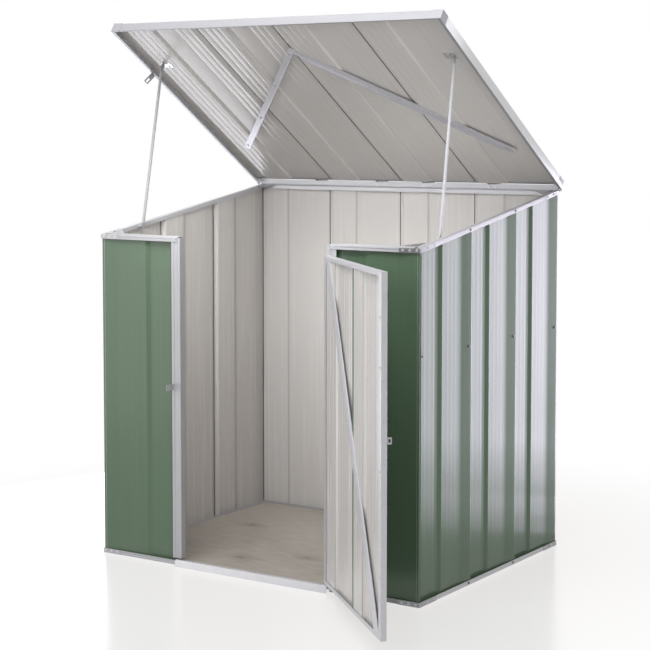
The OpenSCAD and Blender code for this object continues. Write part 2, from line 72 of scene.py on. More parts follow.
class Head(Enum):
    """Kinds of fastener head."""

    SCREW = "screw"
    RIVET = "rivet"


@dataclass(frozen=True)
class Sizes:
    """Named sizes of the shed, in metres and degrees."""

    half_w: float = 0.705
    half_d: float = 0.5325
    front_h: float = 1.230
    back_h: float = 1.395
    steel: float = 0.0012
    plate: float = 0.0015
    slip: float = 0.0015
    lap_x: float = 0.690
    lap_y: float = 0.5175
    wall_x: float = 0.702
    wall_y: float = 0.5295
    wall_screw_z: float = 0.862
    rail_w: float = 0.030
    side_web: float = 0.020
    top_rail_h: float = 0.016
    base_rail_h: float = 0.017
    top_screw: float = 0.008
    base_screw: float = 0.009
    corner_plate: float = 0.001
    side_arm: float = 0.115
    front_arm: float = 0.085
    gusset: float = 0.060
    rail_end: float = 0.338
    doorway: float = 0.325
    jamb_out: float = 0.365
    jamb_front: float = -0.531
    jamb_back: float = -0.504
    threshold_front: float = -0.5565
    threshold_h: float = 0.026
    threshold_drop: float = 0.010
    upstand_h: float = 0.019
    hinge_y: float = 0.545
    hinge_z: float = 1.412
    lid_open: float = 32.46
    lid_half: float = 0.7245
    lid_start: float = 0.021
    lid_end: float = 1.14905
    lid_rise: float = 0.0062
    edge_h: float = 0.035
    edge_flange: float = 0.025
    edge_screw: float = 0.013
    back_edge_h: float = 0.015
    prop_foot: float = 0.202
    prop_set: float = 0.258
    pin_x: float = 0.3575
    pin_y: float = -0.560
    door_open: float = 137.9
    door_half: float = 0.353
    door_z: float = 0.043
    door_top: float = 1.196
    door_in: float = -0.5375
    door_out: float = -0.5575
    door_sheet: float = -0.5549
    stile_w: float = 0.025
    door_rail_h: float = 0.015

    @property
    def in_x(self) -> float:
        """Inner face of the base rails at the sides."""
        return self.half_w - self.rail_w

    @property
    def in_y(self) -> float:
        """Inner face of the front and back rails."""
        return self.half_d - self.rail_w

    def roof(self, y: float) -> float:
        """Height of the rail tops at a place along the depth."""
        return self.front_h + (y + self.half_d) * (self.back_h - self.front_h) / (2 * self.half_d)

    def on_lid(self, x: float, v: float, w: float) -> Vector:
        """Point of the open lid.

        Args:
            x: place across the lid.
            v: distance from the hinge axis towards the lid's front.
            w: height out of the lid's top side.

        Returns:
            The point in the shared frame.
        """
        c, s = math.cos(math.radians(self.lid_open)), math.sin(math.radians(self.lid_open))
        return Vector((x, self.hinge_y - v * c + w * s, self.hinge_z + v * s + w * c))

    def on_door(self, x: float, y: float, z: float) -> Vector:
        """Point of the open door.

        Args:
            x: place across the closed door.
            y: depth in the closed door.
            z: height.

        Returns:
            The point in the shared frame.
        """
        c, s = math.cos(math.radians(self.door_open)), math.sin(math.radians(self.door_open))
        dx, dy = x - self.pin_x, y - self.pin_y
        return Vector((self.pin_x + dx * c - dy * s, self.pin_y + dx * s + dy * c, z))

    def lid_way(self, w: float) -> Vector:
        """Direction out of the open lid's top side, or into it."""
        return self.on_lid(0, 0, w) - self.on_lid(0, 0, 0)

    def door_way(self, x: float, y: float) -> Vector:
        """Direction that is level on the closed door, turned with the open one."""
        return self.on_door(x, y, 0) - self.on_door(0, 0, 0)


SIZES = Sizes()


@dataclass
class Graph:
    """Short hand for building a node tree."""

    tree: NodeTree

    def feed(self, node: Node, values: dict) -> Node:
        """Sets or links the inputs of a node.

        Args:
            node: the node.
            values: default values or source sockets, by the input's name or index.

        Returns:
            The same node.
        """
        for key, value in values.items():
            if isinstance(value, NodeSocket):
                self.tree.links.new(value, node.inputs[key])
            else:
                node.inputs[key].default_value = value
        return node

    def add(self, kind: str, values: dict | None = None, **settings: object) -> Node:
        """Adds a node.

        Args:
            kind: the node's type name.
            values: default values or source sockets of its inputs.
            settings: properties of the node.

        Returns:
            The new node.
        """
        node = self.tree.nodes.new(kind)
        for key, value in settings.items():
            setattr(node, key, value)
        return self.feed(node, values or {})

    def math(self, operation: str, a: object, b: object = 0.0) -> NodeSocket:
        """Adds a math node and gives its result."""
        return self.add("ShaderNodeMath", {0: a, 1: b}, operation=operation).outputs[0]

    def mix(self, factor: object, a: object, b: object) -> NodeSocket:
        """Mixes two colours, the second by the factor's share."""
        a, b = (c if isinstance(c, NodeSocket) else (*c, 1.0) for c in (a, b))
        return self.add("ShaderNodeMix", {"Factor": factor, 6: a, 7: b}, data_type="RGBA").outputs[2]

    def remap(self, value: NodeSocket, low: float, high: float, to_low: float = 0.0,
              to_high: float = 1.0) -> NodeSocket:
        """Maps a value from one range to another, held at the ends."""
        values = {0: value, 1: low, 2: high, 3: to_low, 4: to_high}
        return self.add("ShaderNodeMapRange", values, clamp=True).outputs[0]

    def noise(self, vector: NodeSocket, scale: object, detail: float, roughness: float = 0.5,
              distortion: float = 0.0) -> NodeSocket:
        """Adds a noise texture and gives its value."""
        values = {"Scale": scale, "Detail": detail, "Roughness": roughness, "Distortion": distortion}
        return self.add("ShaderNodeTexNoise", {"Vector": vector, **values}).outputs[0]

    def scaled(self, vector: NodeSocket, scale: Point3) -> NodeSocket:
        """Stretches coordinates along the three axes."""
        return self.add("ShaderNodeMapping", {"Vector": vector, "Scale": scale}).outputs[0]

    def bump(self, height: NodeSocket, distance: float) -> NodeSocket:
        """Adds a bump of the given depth and gives its normal."""
        values = {"Height": height, "Distance": distance, "Strength": 1.0}
        return self.add("ShaderNodeBump", values).outputs[0]


class SharedGroups:
    """Shader node groups that several finishes use."""

    def __init__(self) -> None:
        """Builds the groups once."""
        self.streaks = self._streaks()
        self.spangle = self._spangle()
        self.grime = self._grime()

    @staticmethod
    def _group(name: str, size: str, value: float,
               outputs: Sequence[str]) -> tuple[Graph, bpy.types.bpy_prop_collection, Node]:
        """Makes an empty group with its sockets.

        Args:
            name: the group's name.
            size: name of its one value input, beside the coordinates.
            value: default of that input.
            outputs: names of the value outputs.

        Returns:
            The group's graph, its input sockets by name and its output node.
        """
        tree = bpy.data.node_groups.new(name, "ShaderNodeTree")
        tree.interface.new_socket(name="Vector", in_out="INPUT", socket_type="NodeSocketVector")
        made = tree.interface.new_socket(name=size, in_out="INPUT", socket_type="NodeSocketFloat")
        made.default_value = value
        for key in outputs:
            tree.interface.new_socket(name=key, in_out="OUTPUT", socket_type="NodeSocketFloat")
        graph = Graph(tree)
        return graph, graph.add("NodeGroupInput").outputs, graph.add("NodeGroupOutput")

    def _streaks(self) -> NodeTree:
        """Soft streaks that run with the height, and a slow waviness of thin sheet."""
        graph, source, sink = self._group("height_streaks", "Fineness", 60.0, ("Streak", "Wave"))
        along = graph.scaled(source["Vector"], (1.0, 1.0, 0.025))
        streak = graph.remap(graph.noise(along, source["Fineness"], 3.0, 0.6), 0.32, 0.68)
        wave = graph.noise(graph.scaled(source["Vector"], (1.0, 1.0, 0.35)), 7.0, 1.0)
        graph.feed(sink, {"Streak": streak, "Wave": wave})
        return graph.tree

    def _spangle(self) -> NodeTree:
        """Zinc flowers: one value in each cell, with a finer mottling."""
        graph, source, sink = self._group("zinc_spangle", "Fineness", 150.0, ("Flower", "Mottle"))
        cells = graph.add("ShaderNodeTexVoronoi", {"Vector": source["Vector"], "Scale": source["Fineness"],
                                                   "Randomness": 1.0}, feature="F1")
        flower = graph.add("ShaderNodeSeparateColor", {0: cells.outputs["Color"]}).outputs[0]
        mottle = graph.remap(graph.noise(source["Vector"], 22.0, 4.0), 0.3, 0.7)
        graph.feed(sink, {"Flower": flower, "Mottle": mottle})
        return graph.tree

    def _grime(self) -> NodeTree:
        """Dust that gathers low down, broken up by noise."""
        graph, source, sink = self._group("low_grime", "Reach", 0.12, ("Grime",))
        height = graph.add("ShaderNodeSeparateXYZ", {0: source["Vector"]}).outputs[2]
        low = graph.remap(graph.math("DIVIDE", height, source["Reach"]), 0.0, 1.0, 1.0, 0.0)
        patches = graph.remap(graph.noise(source["Vector"], 14.0, 5.0), 0.35, 0.7)
        graph.feed(sink, {"Grime": graph.math("MULTIPLY", low, patches)})
        return graph.tree


@dataclass(frozen=True)
class Finish:
    """A finish: a Principled shader with its surface changes."""

    name: str
    colour: Colour
    second: Colour
    roughness: float

    def _start(self) -> tuple[Material, Graph, Node, NodeSocket]:
        """Makes the material and finds its shader.

        Returns:
            The material, its graph, its Principled node and the object coordinates.
        """
        material = bpy.data.materials.new(self.name)
        material.use_nodes = True
        material.diffuse_color = (*self.colour, 1.0)
        graph = Graph(material.node_tree)
        shader = material.node_tree.nodes["Principled BSDF"]
        return material, graph, shader, graph.add("ShaderNodeTexCoord").outputs["Object"]

    def _rough(self, graph: Graph, value: NodeSocket, vary: float, low: float = 0.0,
               high: float = 1.0) -> NodeSocket:
        """Roughness that varies with a value."""
        return graph.remap(value, low, high, self.roughness - vary, self.roughness + vary)


@dataclass(frozen=True)
class PaintFinish(Finish):
    """Factory-painted steel sheet, with faint streaks and a slow waviness."""

    specular: float = 0.5
    streak: float = 0.25
    wave: float = 0.0005
    grime: float = 0.3
    vary: float = 0.03
    dust: Colour = (0.30, 0.28, 0.25)

    def material(self, groups: SharedGroups) -> Material:
        """Builds the paint.

        Args:
            groups: the shared node groups.

        Returns:
            The material.
        """
        material, graph, shader, coords = self._start()
        streaks = graph.add("ShaderNodeGroup", {"Vector": coords}, node_tree=groups.streaks).outputs
        grime = graph.add("ShaderNodeGroup", {"Vector": coords}, node_tree=groups.grime).outputs["Grime"]
        paint = graph.mix(graph.math("MULTIPLY", streaks["Streak"], self.streak), self.colour, self.second)
        paint = graph.mix(graph.math("MULTIPLY", grime, self.grime), paint, self.dust)
        rough = self._rough(graph, streaks["Streak"], self.vary)
        normal = graph.bump(streaks["Wave"], self.wave)
        graph.feed(shader, {"Base Color": paint, "Roughness": rough, "Normal": normal,
                            "Specular IOR Level": self.specular})
        return material


@dataclass(frozen=True)
class ZincFinish(Finish):
    """Galvanised or zinc-plated steel with spangle."""

    metallic: float = 0.2
    fineness: float = 260.0
    contrast: float = 0.25
    mottle: float = 0.25
    grime: float = 0.12
    grime_reach: float = 0.05
    vary: float = 0.07
    dust: Colour = (0.33, 0.31, 0.28)

    def material(self, groups: SharedGroups) -> Material:
        """Builds the zinc.

        Args:
            groups: the shared node groups.

        Returns:
            The material.
        """
        material, graph, shader, coords = self._start()
        zinc = graph.add("ShaderNodeGroup", {"Vector": coords, "Fineness": self.fineness},
                         node_tree=groups.spangle).outputs
        grime = graph.add("ShaderNodeGroup", {"Vector": coords, "Reach": self.grime_reach},
                          node_tree=groups.grime).outputs["Grime"]
        tone = graph.mix(graph.math("MULTIPLY", zinc["Flower"], self.contrast), self.colour, self.second)
        tone = graph.mix(graph.math("MULTIPLY", zinc["Mottle"], self.mottle), tone, self.second)
        tone = graph.mix(graph.math("MULTIPLY", grime, self.grime), tone, self.dust)
        graph.feed(shader, {"Base Color": tone, "Roughness": self._rough(graph, zinc["Flower"], self.vary),
                            "Metallic": self.metallic})
        return material


@dataclass(frozen=True)
class PlyFinish(Finish):
    """Worn plywood with grain along X, knots and scuffs."""

    knot: Colour = (0.13, 0.10, 0.08)
    worn: Colour = (0.46, 0.42, 0.37)
    squeeze: float = 0.6
    knots: tuple[Point3, ...] = ((-0.20, -0.33, 0.020), (0.02, -0.20, 0.016), (0.33, -0.36, 0.014),
                                 (-0.47, 0.12, 0.018), (0.18, 0.22, 0.015), (0.52, 0.30, 0.017))

    def material(self, groups: SharedGroups) -> Material:
        """Builds the plywood.

        Args:
            groups: the shared node groups.

        Returns:
            The material.
        """
        material, graph, shader, coords = self._start()
        grain = graph.noise(graph.scaled(coords, (1.2, 7.0, 1.0)), 9.0, 7.0, 0.62, 0.6)
        tone = graph.mix(graph.remap(grain, 0.3, 0.72), self.colour, self.second)
        flat = graph.scaled(coords, (self.squeeze, 1.0, 0.0))
        for x, y, size in self.knots:
            ends = {0: flat, 1: (self.squeeze * x, y, 0)}
            gap = graph.add("ShaderNodeVectorMath", ends, operation="DISTANCE").outputs["Value"]
            spot = graph.remap(gap, 0.4 * size, size, 0.75, 0.0)
            halo = graph.remap(gap, size, 3.0 * size, 0.30, 0.0)
            tone = graph.mix(graph.math("MAXIMUM", spot, halo), tone, self.knot)
        scuff = graph.noise(coords, 5.0, 6.0)
        tone = graph.mix(graph.math("MULTIPLY", graph.remap(scuff, 0.45, 0.75), 0.35), tone, self.worn)
        graph.feed(shader, {"Base Color": tone, "Roughness": self._rough(graph, scuff, 0.1, 0.3, 0.7),
                            "Normal": graph.bump(grain, 0.0006)})
        return material


class Palette:
    """All the finishes of the shed, with lighter, near-white and darker copies of the zinc as painted light
    and shade.
    """

    def __init__(self) -> None:
        """Builds each material once."""
        off_white = ((0.60, 0.580, 0.563), (0.57, 0.550, 0.533), 0.26, 0.35)
        finishes = {
            "green": PaintFinish("sheet_green", (0.104, 0.162, 0.105), (0.124, 0.184, 0.123), 0.23, 0.27,
                                 wave=0.0002, grime=0.1),
            "white": PaintFinish("sheet_off_white", *off_white, streak=0.22, wave=0.00015, grime=0.12),
            "under": PaintFinish("roof_off_white", *off_white, streak=0.0, wave=0.00003, grime=0.0, vary=0.0),
            # Near-black strips along the laps and in the inner corners: painted shade.
            "shade_line": PaintFinish("painted_lap_shade", (0.085, 0.080, 0.074), (0.12, 0.113, 0.105), 0.5),
            # Darker strip at each step inside the wall sheets: painted shade.
            "crease": PaintFinish("painted_wall_shade", (0.44, 0.425, 0.41), (0.42, 0.405, 0.39), 0.4),
            # Lighter strip at each step under the roof: painted highlight.
            "highlight_strip": PaintFinish("painted_roof_highlight", (0.66, 0.64, 0.625), (0.65, 0.63, 0.615), 0.3),
            "zinc": ZincFinish("galvanised_steel", (0.43, 0.43, 0.45), (0.38, 0.38, 0.40), 0.42),
            # Lighter copy of the galvanised steel, for parts that catch more light: painted light.
            "pale": ZincFinish("painted_light_zinc", (0.565, 0.565, 0.595), (0.51, 0.51, 0.54), 0.36, 0.25),
            # Near-white copy of the galvanised steel for the lid's right edge: painted highlight.
            "bright": ZincFinish("painted_highlight_zinc", (0.80, 0.80, 0.83), (0.74, 0.74, 0.77), 0.36, 0.1,
                                 contrast=0.2),
            # Darker copy of the galvanised steel, for parts in shade: painted shade.
            "shaded_zinc": ZincFinish("painted_shade_zinc", (0.335, 0.335, 0.355), (0.30, 0.30, 0.32), 0.45),
            "plated": ZincFinish("plated_hardware", (0.56, 0.56, 0.58), (0.42, 0.42, 0.44), 0.36, 0.7,
                                 fineness=320.0, contrast=0.4),
            "iron": ZincFinish("dark_steel", (0.19, 0.19, 0.205), (0.15, 0.15, 0.16), 0.42, 0.3,
                               fineness=320.0, contrast=0.3),
            "ply": PlyFinish("floor_ply", (0.385, 0.35, 0.315), (0.28, 0.253, 0.225), 0.55),
        }
        groups = SharedGroups()
        made = {key: finish.material(groups) for key, finish in finishes.items()}
        self.zinc, self.pale, self.bright, self.shaded_zinc = (made[k] for k in ("zinc", "pale", "bright", "shaded_zinc"))
        self.plated, self.iron, self.ply = (made[k] for k in ("plated", "iron", "ply"))
        self.sheet = tuple(made[k] for k in ("green", "white", "shade_line", "crease"))
        self.roof = tuple(made[k] for k in ("green", "under", "shade_line", "highlight_strip"))


def rounded(points: Sequence[Point2], bend: float, steps: int = 4) -> list[Point2]:
    """Turns the corners of an open line into bends.

    Args:
        points: the corners of the line.
        bend: distance from a corner at which its bend starts.
        steps: pieces of each bend.

    Returns:
        The points of the rounded line.
    """
    out = [tuple(points[0])]
    for before, here, after in zip(points, points[1:], points[2:]):
        a, p, b = Vector(before), Vector(here), Vector(after)
        reach = min(bend, 0.45 * (p - a).length, 0.45 * (b - p).length)
        start, end = p + (a - p).normalized() * reach, p + (b - p).normalized() * reach
        for i in range(steps + 1):
            t = i / steps
            q = start * (1 - t) ** 2 + p * 2 * t * (1 - t) + end * t ** 2
            out.append((q.x, q.y))
    out.append(tuple(points[-1]))
    return out


def offset(points: Sequence[Point2], depth: float) -> list[Point2]:
    """Moves an open line to its right-hand side.

    Args:
        points: the line.
        depth: how far it moves.

    Returns:
        The moved line, point for point.
    """
    sides = []
    for a, b in zip(points, points[1:]):
        d = (Vector(b) - Vector(a)).normalized()
        sides.append(Vector((d.y, -d.x)))
    out = []
    for i, p in enumerate(points):
        first, last = sides[max(i - 1, 0)], sides[min(i, len(sides) - 1)]
        n = (first + last).normalized()
        q = Vector(p) + n * depth / max(0.4, n.dot(last))
        out.append((q.x, q.y))
    return out


@dataclass
class MeshBuilder:
    """Collects folded strips and plates into the mesh that stands for one CAD node."""

    node: str
    points: list[Vector] = field(default_factory=list)
    faces: list[tuple[int, ...]] = field(default_factory=list)
    slots: list[int] = field(default_factory=list)

    def face(self, corners: Sequence[int], slot: int) -> None:
        """Adds one face."""
        self.faces.append(tuple(corners))
        self.slots.append(slot)

    def strip(self, line: Sequence[Point2], thickness: float, place: Place, outer: int = 0,
              inner: int | None = None, stops: Sequence[float] = (0.0, 1.0)) -> None:
        """Adds a folded strip: a line with a thickness, drawn out along a length.

        Args:
            line: the outer line of the section.
            thickness: steel thickness, to the right of the line.
            place: gives the point for a section place and a stop along the length.
            outer: material slot of the outer side.
            inner: material slot of the inner side and the rims, or None for the outer side's.
            stops: places along the length, from 0 to 1.
        """
        inner = outer if inner is None else inner
        under = offset(line, thickness)
        count, start = len(line), len(self.points)
        size = 2 * count
        for t in stops:
            self.points += [place(a, b, t) for a, b in [*line, *under]]
        for k in range(len(stops) - 1):
            low, high = start + k * size, start + (k + 1) * size
            for i in range(count - 1):
                j = count + i
                self.face((low + i, low + i + 1, high + i + 1, high + i), outer)
                self.face((low + j + 1, low + j, high + j, high + j + 1), inner)
            for i in (0, count - 1):
                self.face((low + i, high + i, high + count + i, low + count + i), inner)
        last = start + (len(stops) - 1) * size
        for i in range(count - 1):
            self.face((start + i, start + count + i, start + count + i + 1, start + i + 1), inner)
            self.face((last + i, last + i + 1, last + count + i + 1, last + count + i), inner)

    def prism(self, low: Sequence[Vector], high: Sequence[Vector], slot: int = 0) -> None:
        """Adds a closed plate between two outlines with the same corners.

        Args:
            low: corners of one face.
            high: corners of the other face.
            slot: material slot.
        """
        start, count = len(self.points), len(low)
        self.points += [*low, *high]
        self.face(range(start, start + count), slot)
        self.face(range(start + 2 * count - 1, start + count - 1, -1), slot)
        for i in range(count):
            j = (i + 1) % count
            self.face((start + i, start + j, start + count + j, start + count + i), slot)

    def finish(self, body: str, *materials: Material, slot: str = "galvanised_frame") -> None:
        """Makes the object and hands it to the frame.

        Args:
            body: CAD body that it rides on.
            materials: materials in slot order.
            slot: not used.
        """
        name = f"{self.node}_visual"
        mesh = bpy.data.meshes.new(name)
        mesh.from_pydata(self.points, [], self.faces)
        work = bmesh.new()
        work.from_mesh(mesh)
        bmesh.ops.recalc_face_normals(work, faces=work.faces)
        work.to_mesh(mesh)
        work.free()
        mesh.polygons.foreach_set("material_index", self.slots)
        for material in materials:
            mesh.materials.append(material)
        mesh.shade_smooth()
        mesh.set_sharp_from_angle(angle=math.radians(40))
        mesh.update()
        obj = bpy.data.objects.new(name, mesh)
        bpy.context.scene.collection.objects.link(obj)
        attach(obj, body)
        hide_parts(self.node)


@dataclass(frozen=True)
class SheetProfile:
    """Section of one ribbed cladding sheet, with pencil ribs in its pans."""

    cover: float = 0.345
    thickness: float = 0.0008
    crown: float = 0.014
    bends: tuple[Point2, ...] = ((0.006, 0.0106), (0.013, 0.0), (0.113, 0.0), (0.131, 0.0010), (0.149, 0.007),
                                 (0.258, 0.007), (0.275, 0.0073), (0.288, 0.0080))
    bend: float = 0.003
    ribs: tuple[float, ...] = (0.040, 0.070, 0.100, 0.186, 0.214, 0.242)
    rib_w: float = 0.006
    rib_h: float = 0.00027
    flat_min: float = 0.04
    support: float = 0.002
    lap: float = 0.008
    # Strip inside each lap, drawn in the dark finish: painted shade in the lap groove.
    shade_line: tuple[Point2, ...] = ((-0.0095, 0.0092), (-0.0055, 0.0094))
    shade_line_t: float = 0.0006
    # Strip along the step inside; it takes the fourth finish: painted shade on the walls, a painted highlight
    # on the roof.
    crease: tuple[Point2, ...] = ((0.125, -0.0004), (0.131, -0.0001), (0.134, 0.0008))
    crease_t: float = 0.0003

    def outline(self, before: float | None, after: float | None) -> list[Point2]:
        """Outer line of one sheet, with points near the ends of its flats that keep them flat in the light.

        Args:
            before: how far the first edge runs on before the lap line, or None where it lies under a lap.
            after: how far the last edge runs on past the lap line, or None where it laps over the next sheet.

        Returns:
            Points (place along the wall, height over the narrow pan).
        """
        shoulder = self.bends[0][1]
        slope = None if before is None else (-before, shoulder - min(0.6 * before, 0.0075))
        reach = self.cover + (self.lap if after is None else after)
        tip = min(self.cover + 0.004, reach - 0.003)
        first = slope or (-self.lap, shoulder - 0.0005)
        last = (reach, self.crown - 0.0003)
        line = rounded([first, *self.bends, (tip, self.crown), last], self.bend)
        out: list[Point2] = []
        for a, b in zip(line, line[1:]):
            flat = abs(b[1] - a[1]) < 1e-6 and b[0] - a[0] > self.flat_min
            out += [a, (a[0] + self.support, a[1])] if flat else [a]
            for rib in self.ribs:
                if a[0] < rib - self.rib_w / 2 and rib + self.rib_w / 2 < b[0]:
                    out += [(rib + k * self.rib_w / 6,
                             a[1] + self.rib_h * (1 + math.cos(math.pi * k / 3)) / 2) for k in range(-3, 4)]
            if flat:
                out.append((b[0] - self.support, b[1]))
        out.append(line[-1])
        return out

    def row(self, builder: MeshBuilder, count: int, before: float, after: float, place: Place) -> None:
        """Adds a row of lapped sheets, with strips of painted shade along the laps and a painted strip along
        each step inside.

        Args:
            builder: the mesh that takes them.
            count: number of sheets.
            before: run of the first sheet before its lap line.
            after: run of the last sheet past its lap line.
            place: gives the point for a place along the row, a height and a stop.
        """
        for i in range(count):
            line = self.outline(before if i == 0 else None, after if i == count - 1 else None)
            # Slot 2 strips are painted shade along the laps; slot 3 strips are painted shade on the walls and
            # a painted highlight on the roof.
            strips = [(line, self.thickness, 0, 1), (self.crease, self.crease_t, 3, 3)]
            if i:
                strips.append((self.shade_line, self.shade_line_t, 2, 2))
            for points, thickness, outer, inner in strips:
                moved = [(s + i * self.cover, h) for s, h in points]
                builder.strip(moved, thickness, place, outer, inner)


PROFILE = SheetProfile()
SMOOTH_PROFILE = SheetProfile(rib_h=0.00008)
# The roof's step strips take the lighter finish: a painted highlight along each step.
LID_PROFILE = SheetProfile(
    bends=((0.006, 0.0106), (0.013, 0.0), (0.113, 0.0), (0.135, 0.0012), (0.147, 0.007), (0.313, 0.007)),
    ribs=(0.040, 0.070, 0.100, 0.237, 0.267, 0.297), rib_w=0.007, rib_h=0.0007,
    crease=((0.1345, 0.0001), (0.1445, 0.0049)))


@dataclass
class FastenerSet:
    """Screws and rivets of one body, set out by geometry nodes."""

    body: str
    spots: dict[Head, list[tuple[Vector, Vector]]] = field(default_factory=dict)

    inputs: ClassVar[tuple[str, ...]] = ("Head Radius", "Head Height", "Washer Radius", "Washer Height")
    sizes: ClassVar[dict[Head, tuple[float, ...]]] = {Head.SCREW: (0.0034, 0.0036, 0.0048, 0.0012),
                                                      Head.RIVET: (0.0044, 0.0030, 0.0055, 0.0010)}

    def add(self, head: Head, point: Vector, facing: Vector) -> None:
        """Notes one fastener."""
        self.spots.setdefault(head, []).append((point, facing.normalized()))

    @classmethod
    def _tree(cls, head: Head) -> GeometryNodeTree:
        """Node tree that puts one kind of head on each point.

        Args:
            head: the kind of head.

        Returns:
            The node tree, with named inputs.
        """
        tree = bpy.data.node_groups.new(f"{head.value}_heads", "GeometryNodeTree")
        sockets = [("Geometry", "INPUT", "Geometry"), *((name, "INPUT", "Float") for name in cls.inputs),
                   ("Finish", "INPUT", "Material"), ("Geometry", "OUTPUT", "Geometry")]
        for name, way, kind in sockets:
            tree.interface.new_socket(name=name, in_out=way, socket_type=f"NodeSocket{kind}")
        graph = Graph(tree)
        source = graph.add("NodeGroupInput").outputs
        radius, height, washer_r, washer_h = (source[name] for name in cls.inputs)
        disc = {"Vertices": 20, "Radius": washer_r, "Depth": washer_h}
        washer = graph.add("GeometryNodeMeshCylinder", disc)
        if head is Head.RIVET:
            solid = graph.add("GeometryNodeMeshUVSphere", {"Segments": 16, "Rings": 8, "Radius": radius})
            parts = {0: 1.0, 1: 1.0, 2: graph.math("DIVIDE", height, radius)}
            change = "Scale"
        else:
            solid = graph.add("GeometryNodeMeshCylinder", {"Vertices": 6, "Radius": radius, "Depth": height})
            parts = {2: graph.math("MULTIPLY", height, 0.5)}
            change = "Translation"
        vector = graph.add("ShaderNodeCombineXYZ", parts).outputs[0]
        shaped = graph.add("GeometryNodeTransform", {"Geometry": solid.outputs["Mesh"], change: vector})
        joined = graph.add("GeometryNodeJoinGeometry")
        for socket in (washer.outputs["Mesh"], shaped.outputs[0]):
            tree.links.new(socket, joined.inputs[0])
        facing = graph.add("GeometryNodeInputNamedAttribute", {"Name": "facing"}, data_type="FLOAT_VECTOR")
        turn = graph.add("FunctionNodeAlignRotationToVector", {"Vector": facing.outputs[0]}, axis="Z")
        spots = {"Points": source["Geometry"], "Instance": joined.outputs[0], "Rotation": turn.outputs[0]}
        spread = graph.add("GeometryNodeInstanceOnPoints", spots)
        real = graph.add("GeometryNodeRealizeInstances", {"Geometry": spread.outputs[0]})
        paint = {"Geometry": real.outputs[0], "Material": source["Finish"]}
        dressed = graph.add("GeometryNodeSetMaterial", paint)
        graph.add("NodeGroupOutput", {0: dressed.outputs[0]})
        return tree

    def build(self, palette: Palette) -> None:
        """Makes one plain mesh of each kind of head.

        Args:
            palette: the finishes.
        """
        for head, spots in self.spots.items():
            name = f"{self.body}_{head.value}s"
            mesh = bpy.data.meshes.new(name)
            mesh.from_pydata([p for p, _ in spots], [], [])
            facing = mesh.attributes.new("facing", "FLOAT_VECTOR", "POINT")
            facing.data.foreach_set("vector", [c for _, n in spots for c in n])
            obj = bpy.data.objects.new(name, mesh)
            bpy.context.scene.collection.objects.link(obj)
            tree = bpy.data.node_groups.get(f"{head.value}_heads") or self._tree(head)
            modifier = obj.modifiers.new("heads", "NODES")
            modifier.node_group = tree
            values = dict(zip(self.inputs, self.sizes[head]))
            values["Finish"] = palette.iron if head is Head.SCREW else palette.plated
            for item in tree.interface.items_tree:
                if item.in_out == "INPUT" and item.name in values:
                    modifier[item.identifier] = values[item.name]
            plain = bpy.data.meshes.new_from_object(obj.evaluated_get(bpy.context.evaluated_depsgraph_get()))
            plain.name = name
            obj.modifiers.remove(modifier)
            obj.data = plain
            bpy.data.meshes.remove(mesh)
            plain.shade_smooth()
            plain.set_sharp_from_angle(angle=math.radians(35))
            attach(obj, self.body)
            LOG.info("%s: %d heads", name, len(spots))


@dataclass
class Assembly:
    """Pieces of one body, with the shed's finishes and that body's fasteners."""

    palette: Palette
    screws: FastenerSet

    @property
    def body(self) -> str:
        """The CAD body that the pieces ride on."""
        return self.screws.body

    def fold(self, node: str, line: Sequence[Point2], place: Place, finish: Material,
             thickness: float = SIZES.steel, stops: Sequence[float] = (0.0, 1.0)) -> None:
        """Builds a piece that is one folded strip.

        Args:
            node: the CAD node that it stands for.
            line: the outer line of its section.
            place: gives the points.
            finish: its material.
            thickness: steel thickness.
            stops: places along the length, from 0 to 1.
        """
        builder = MeshBuilder(node)
        builder.strip(line, thickness, place, stops=stops)
        builder.finish(self.body, finish)


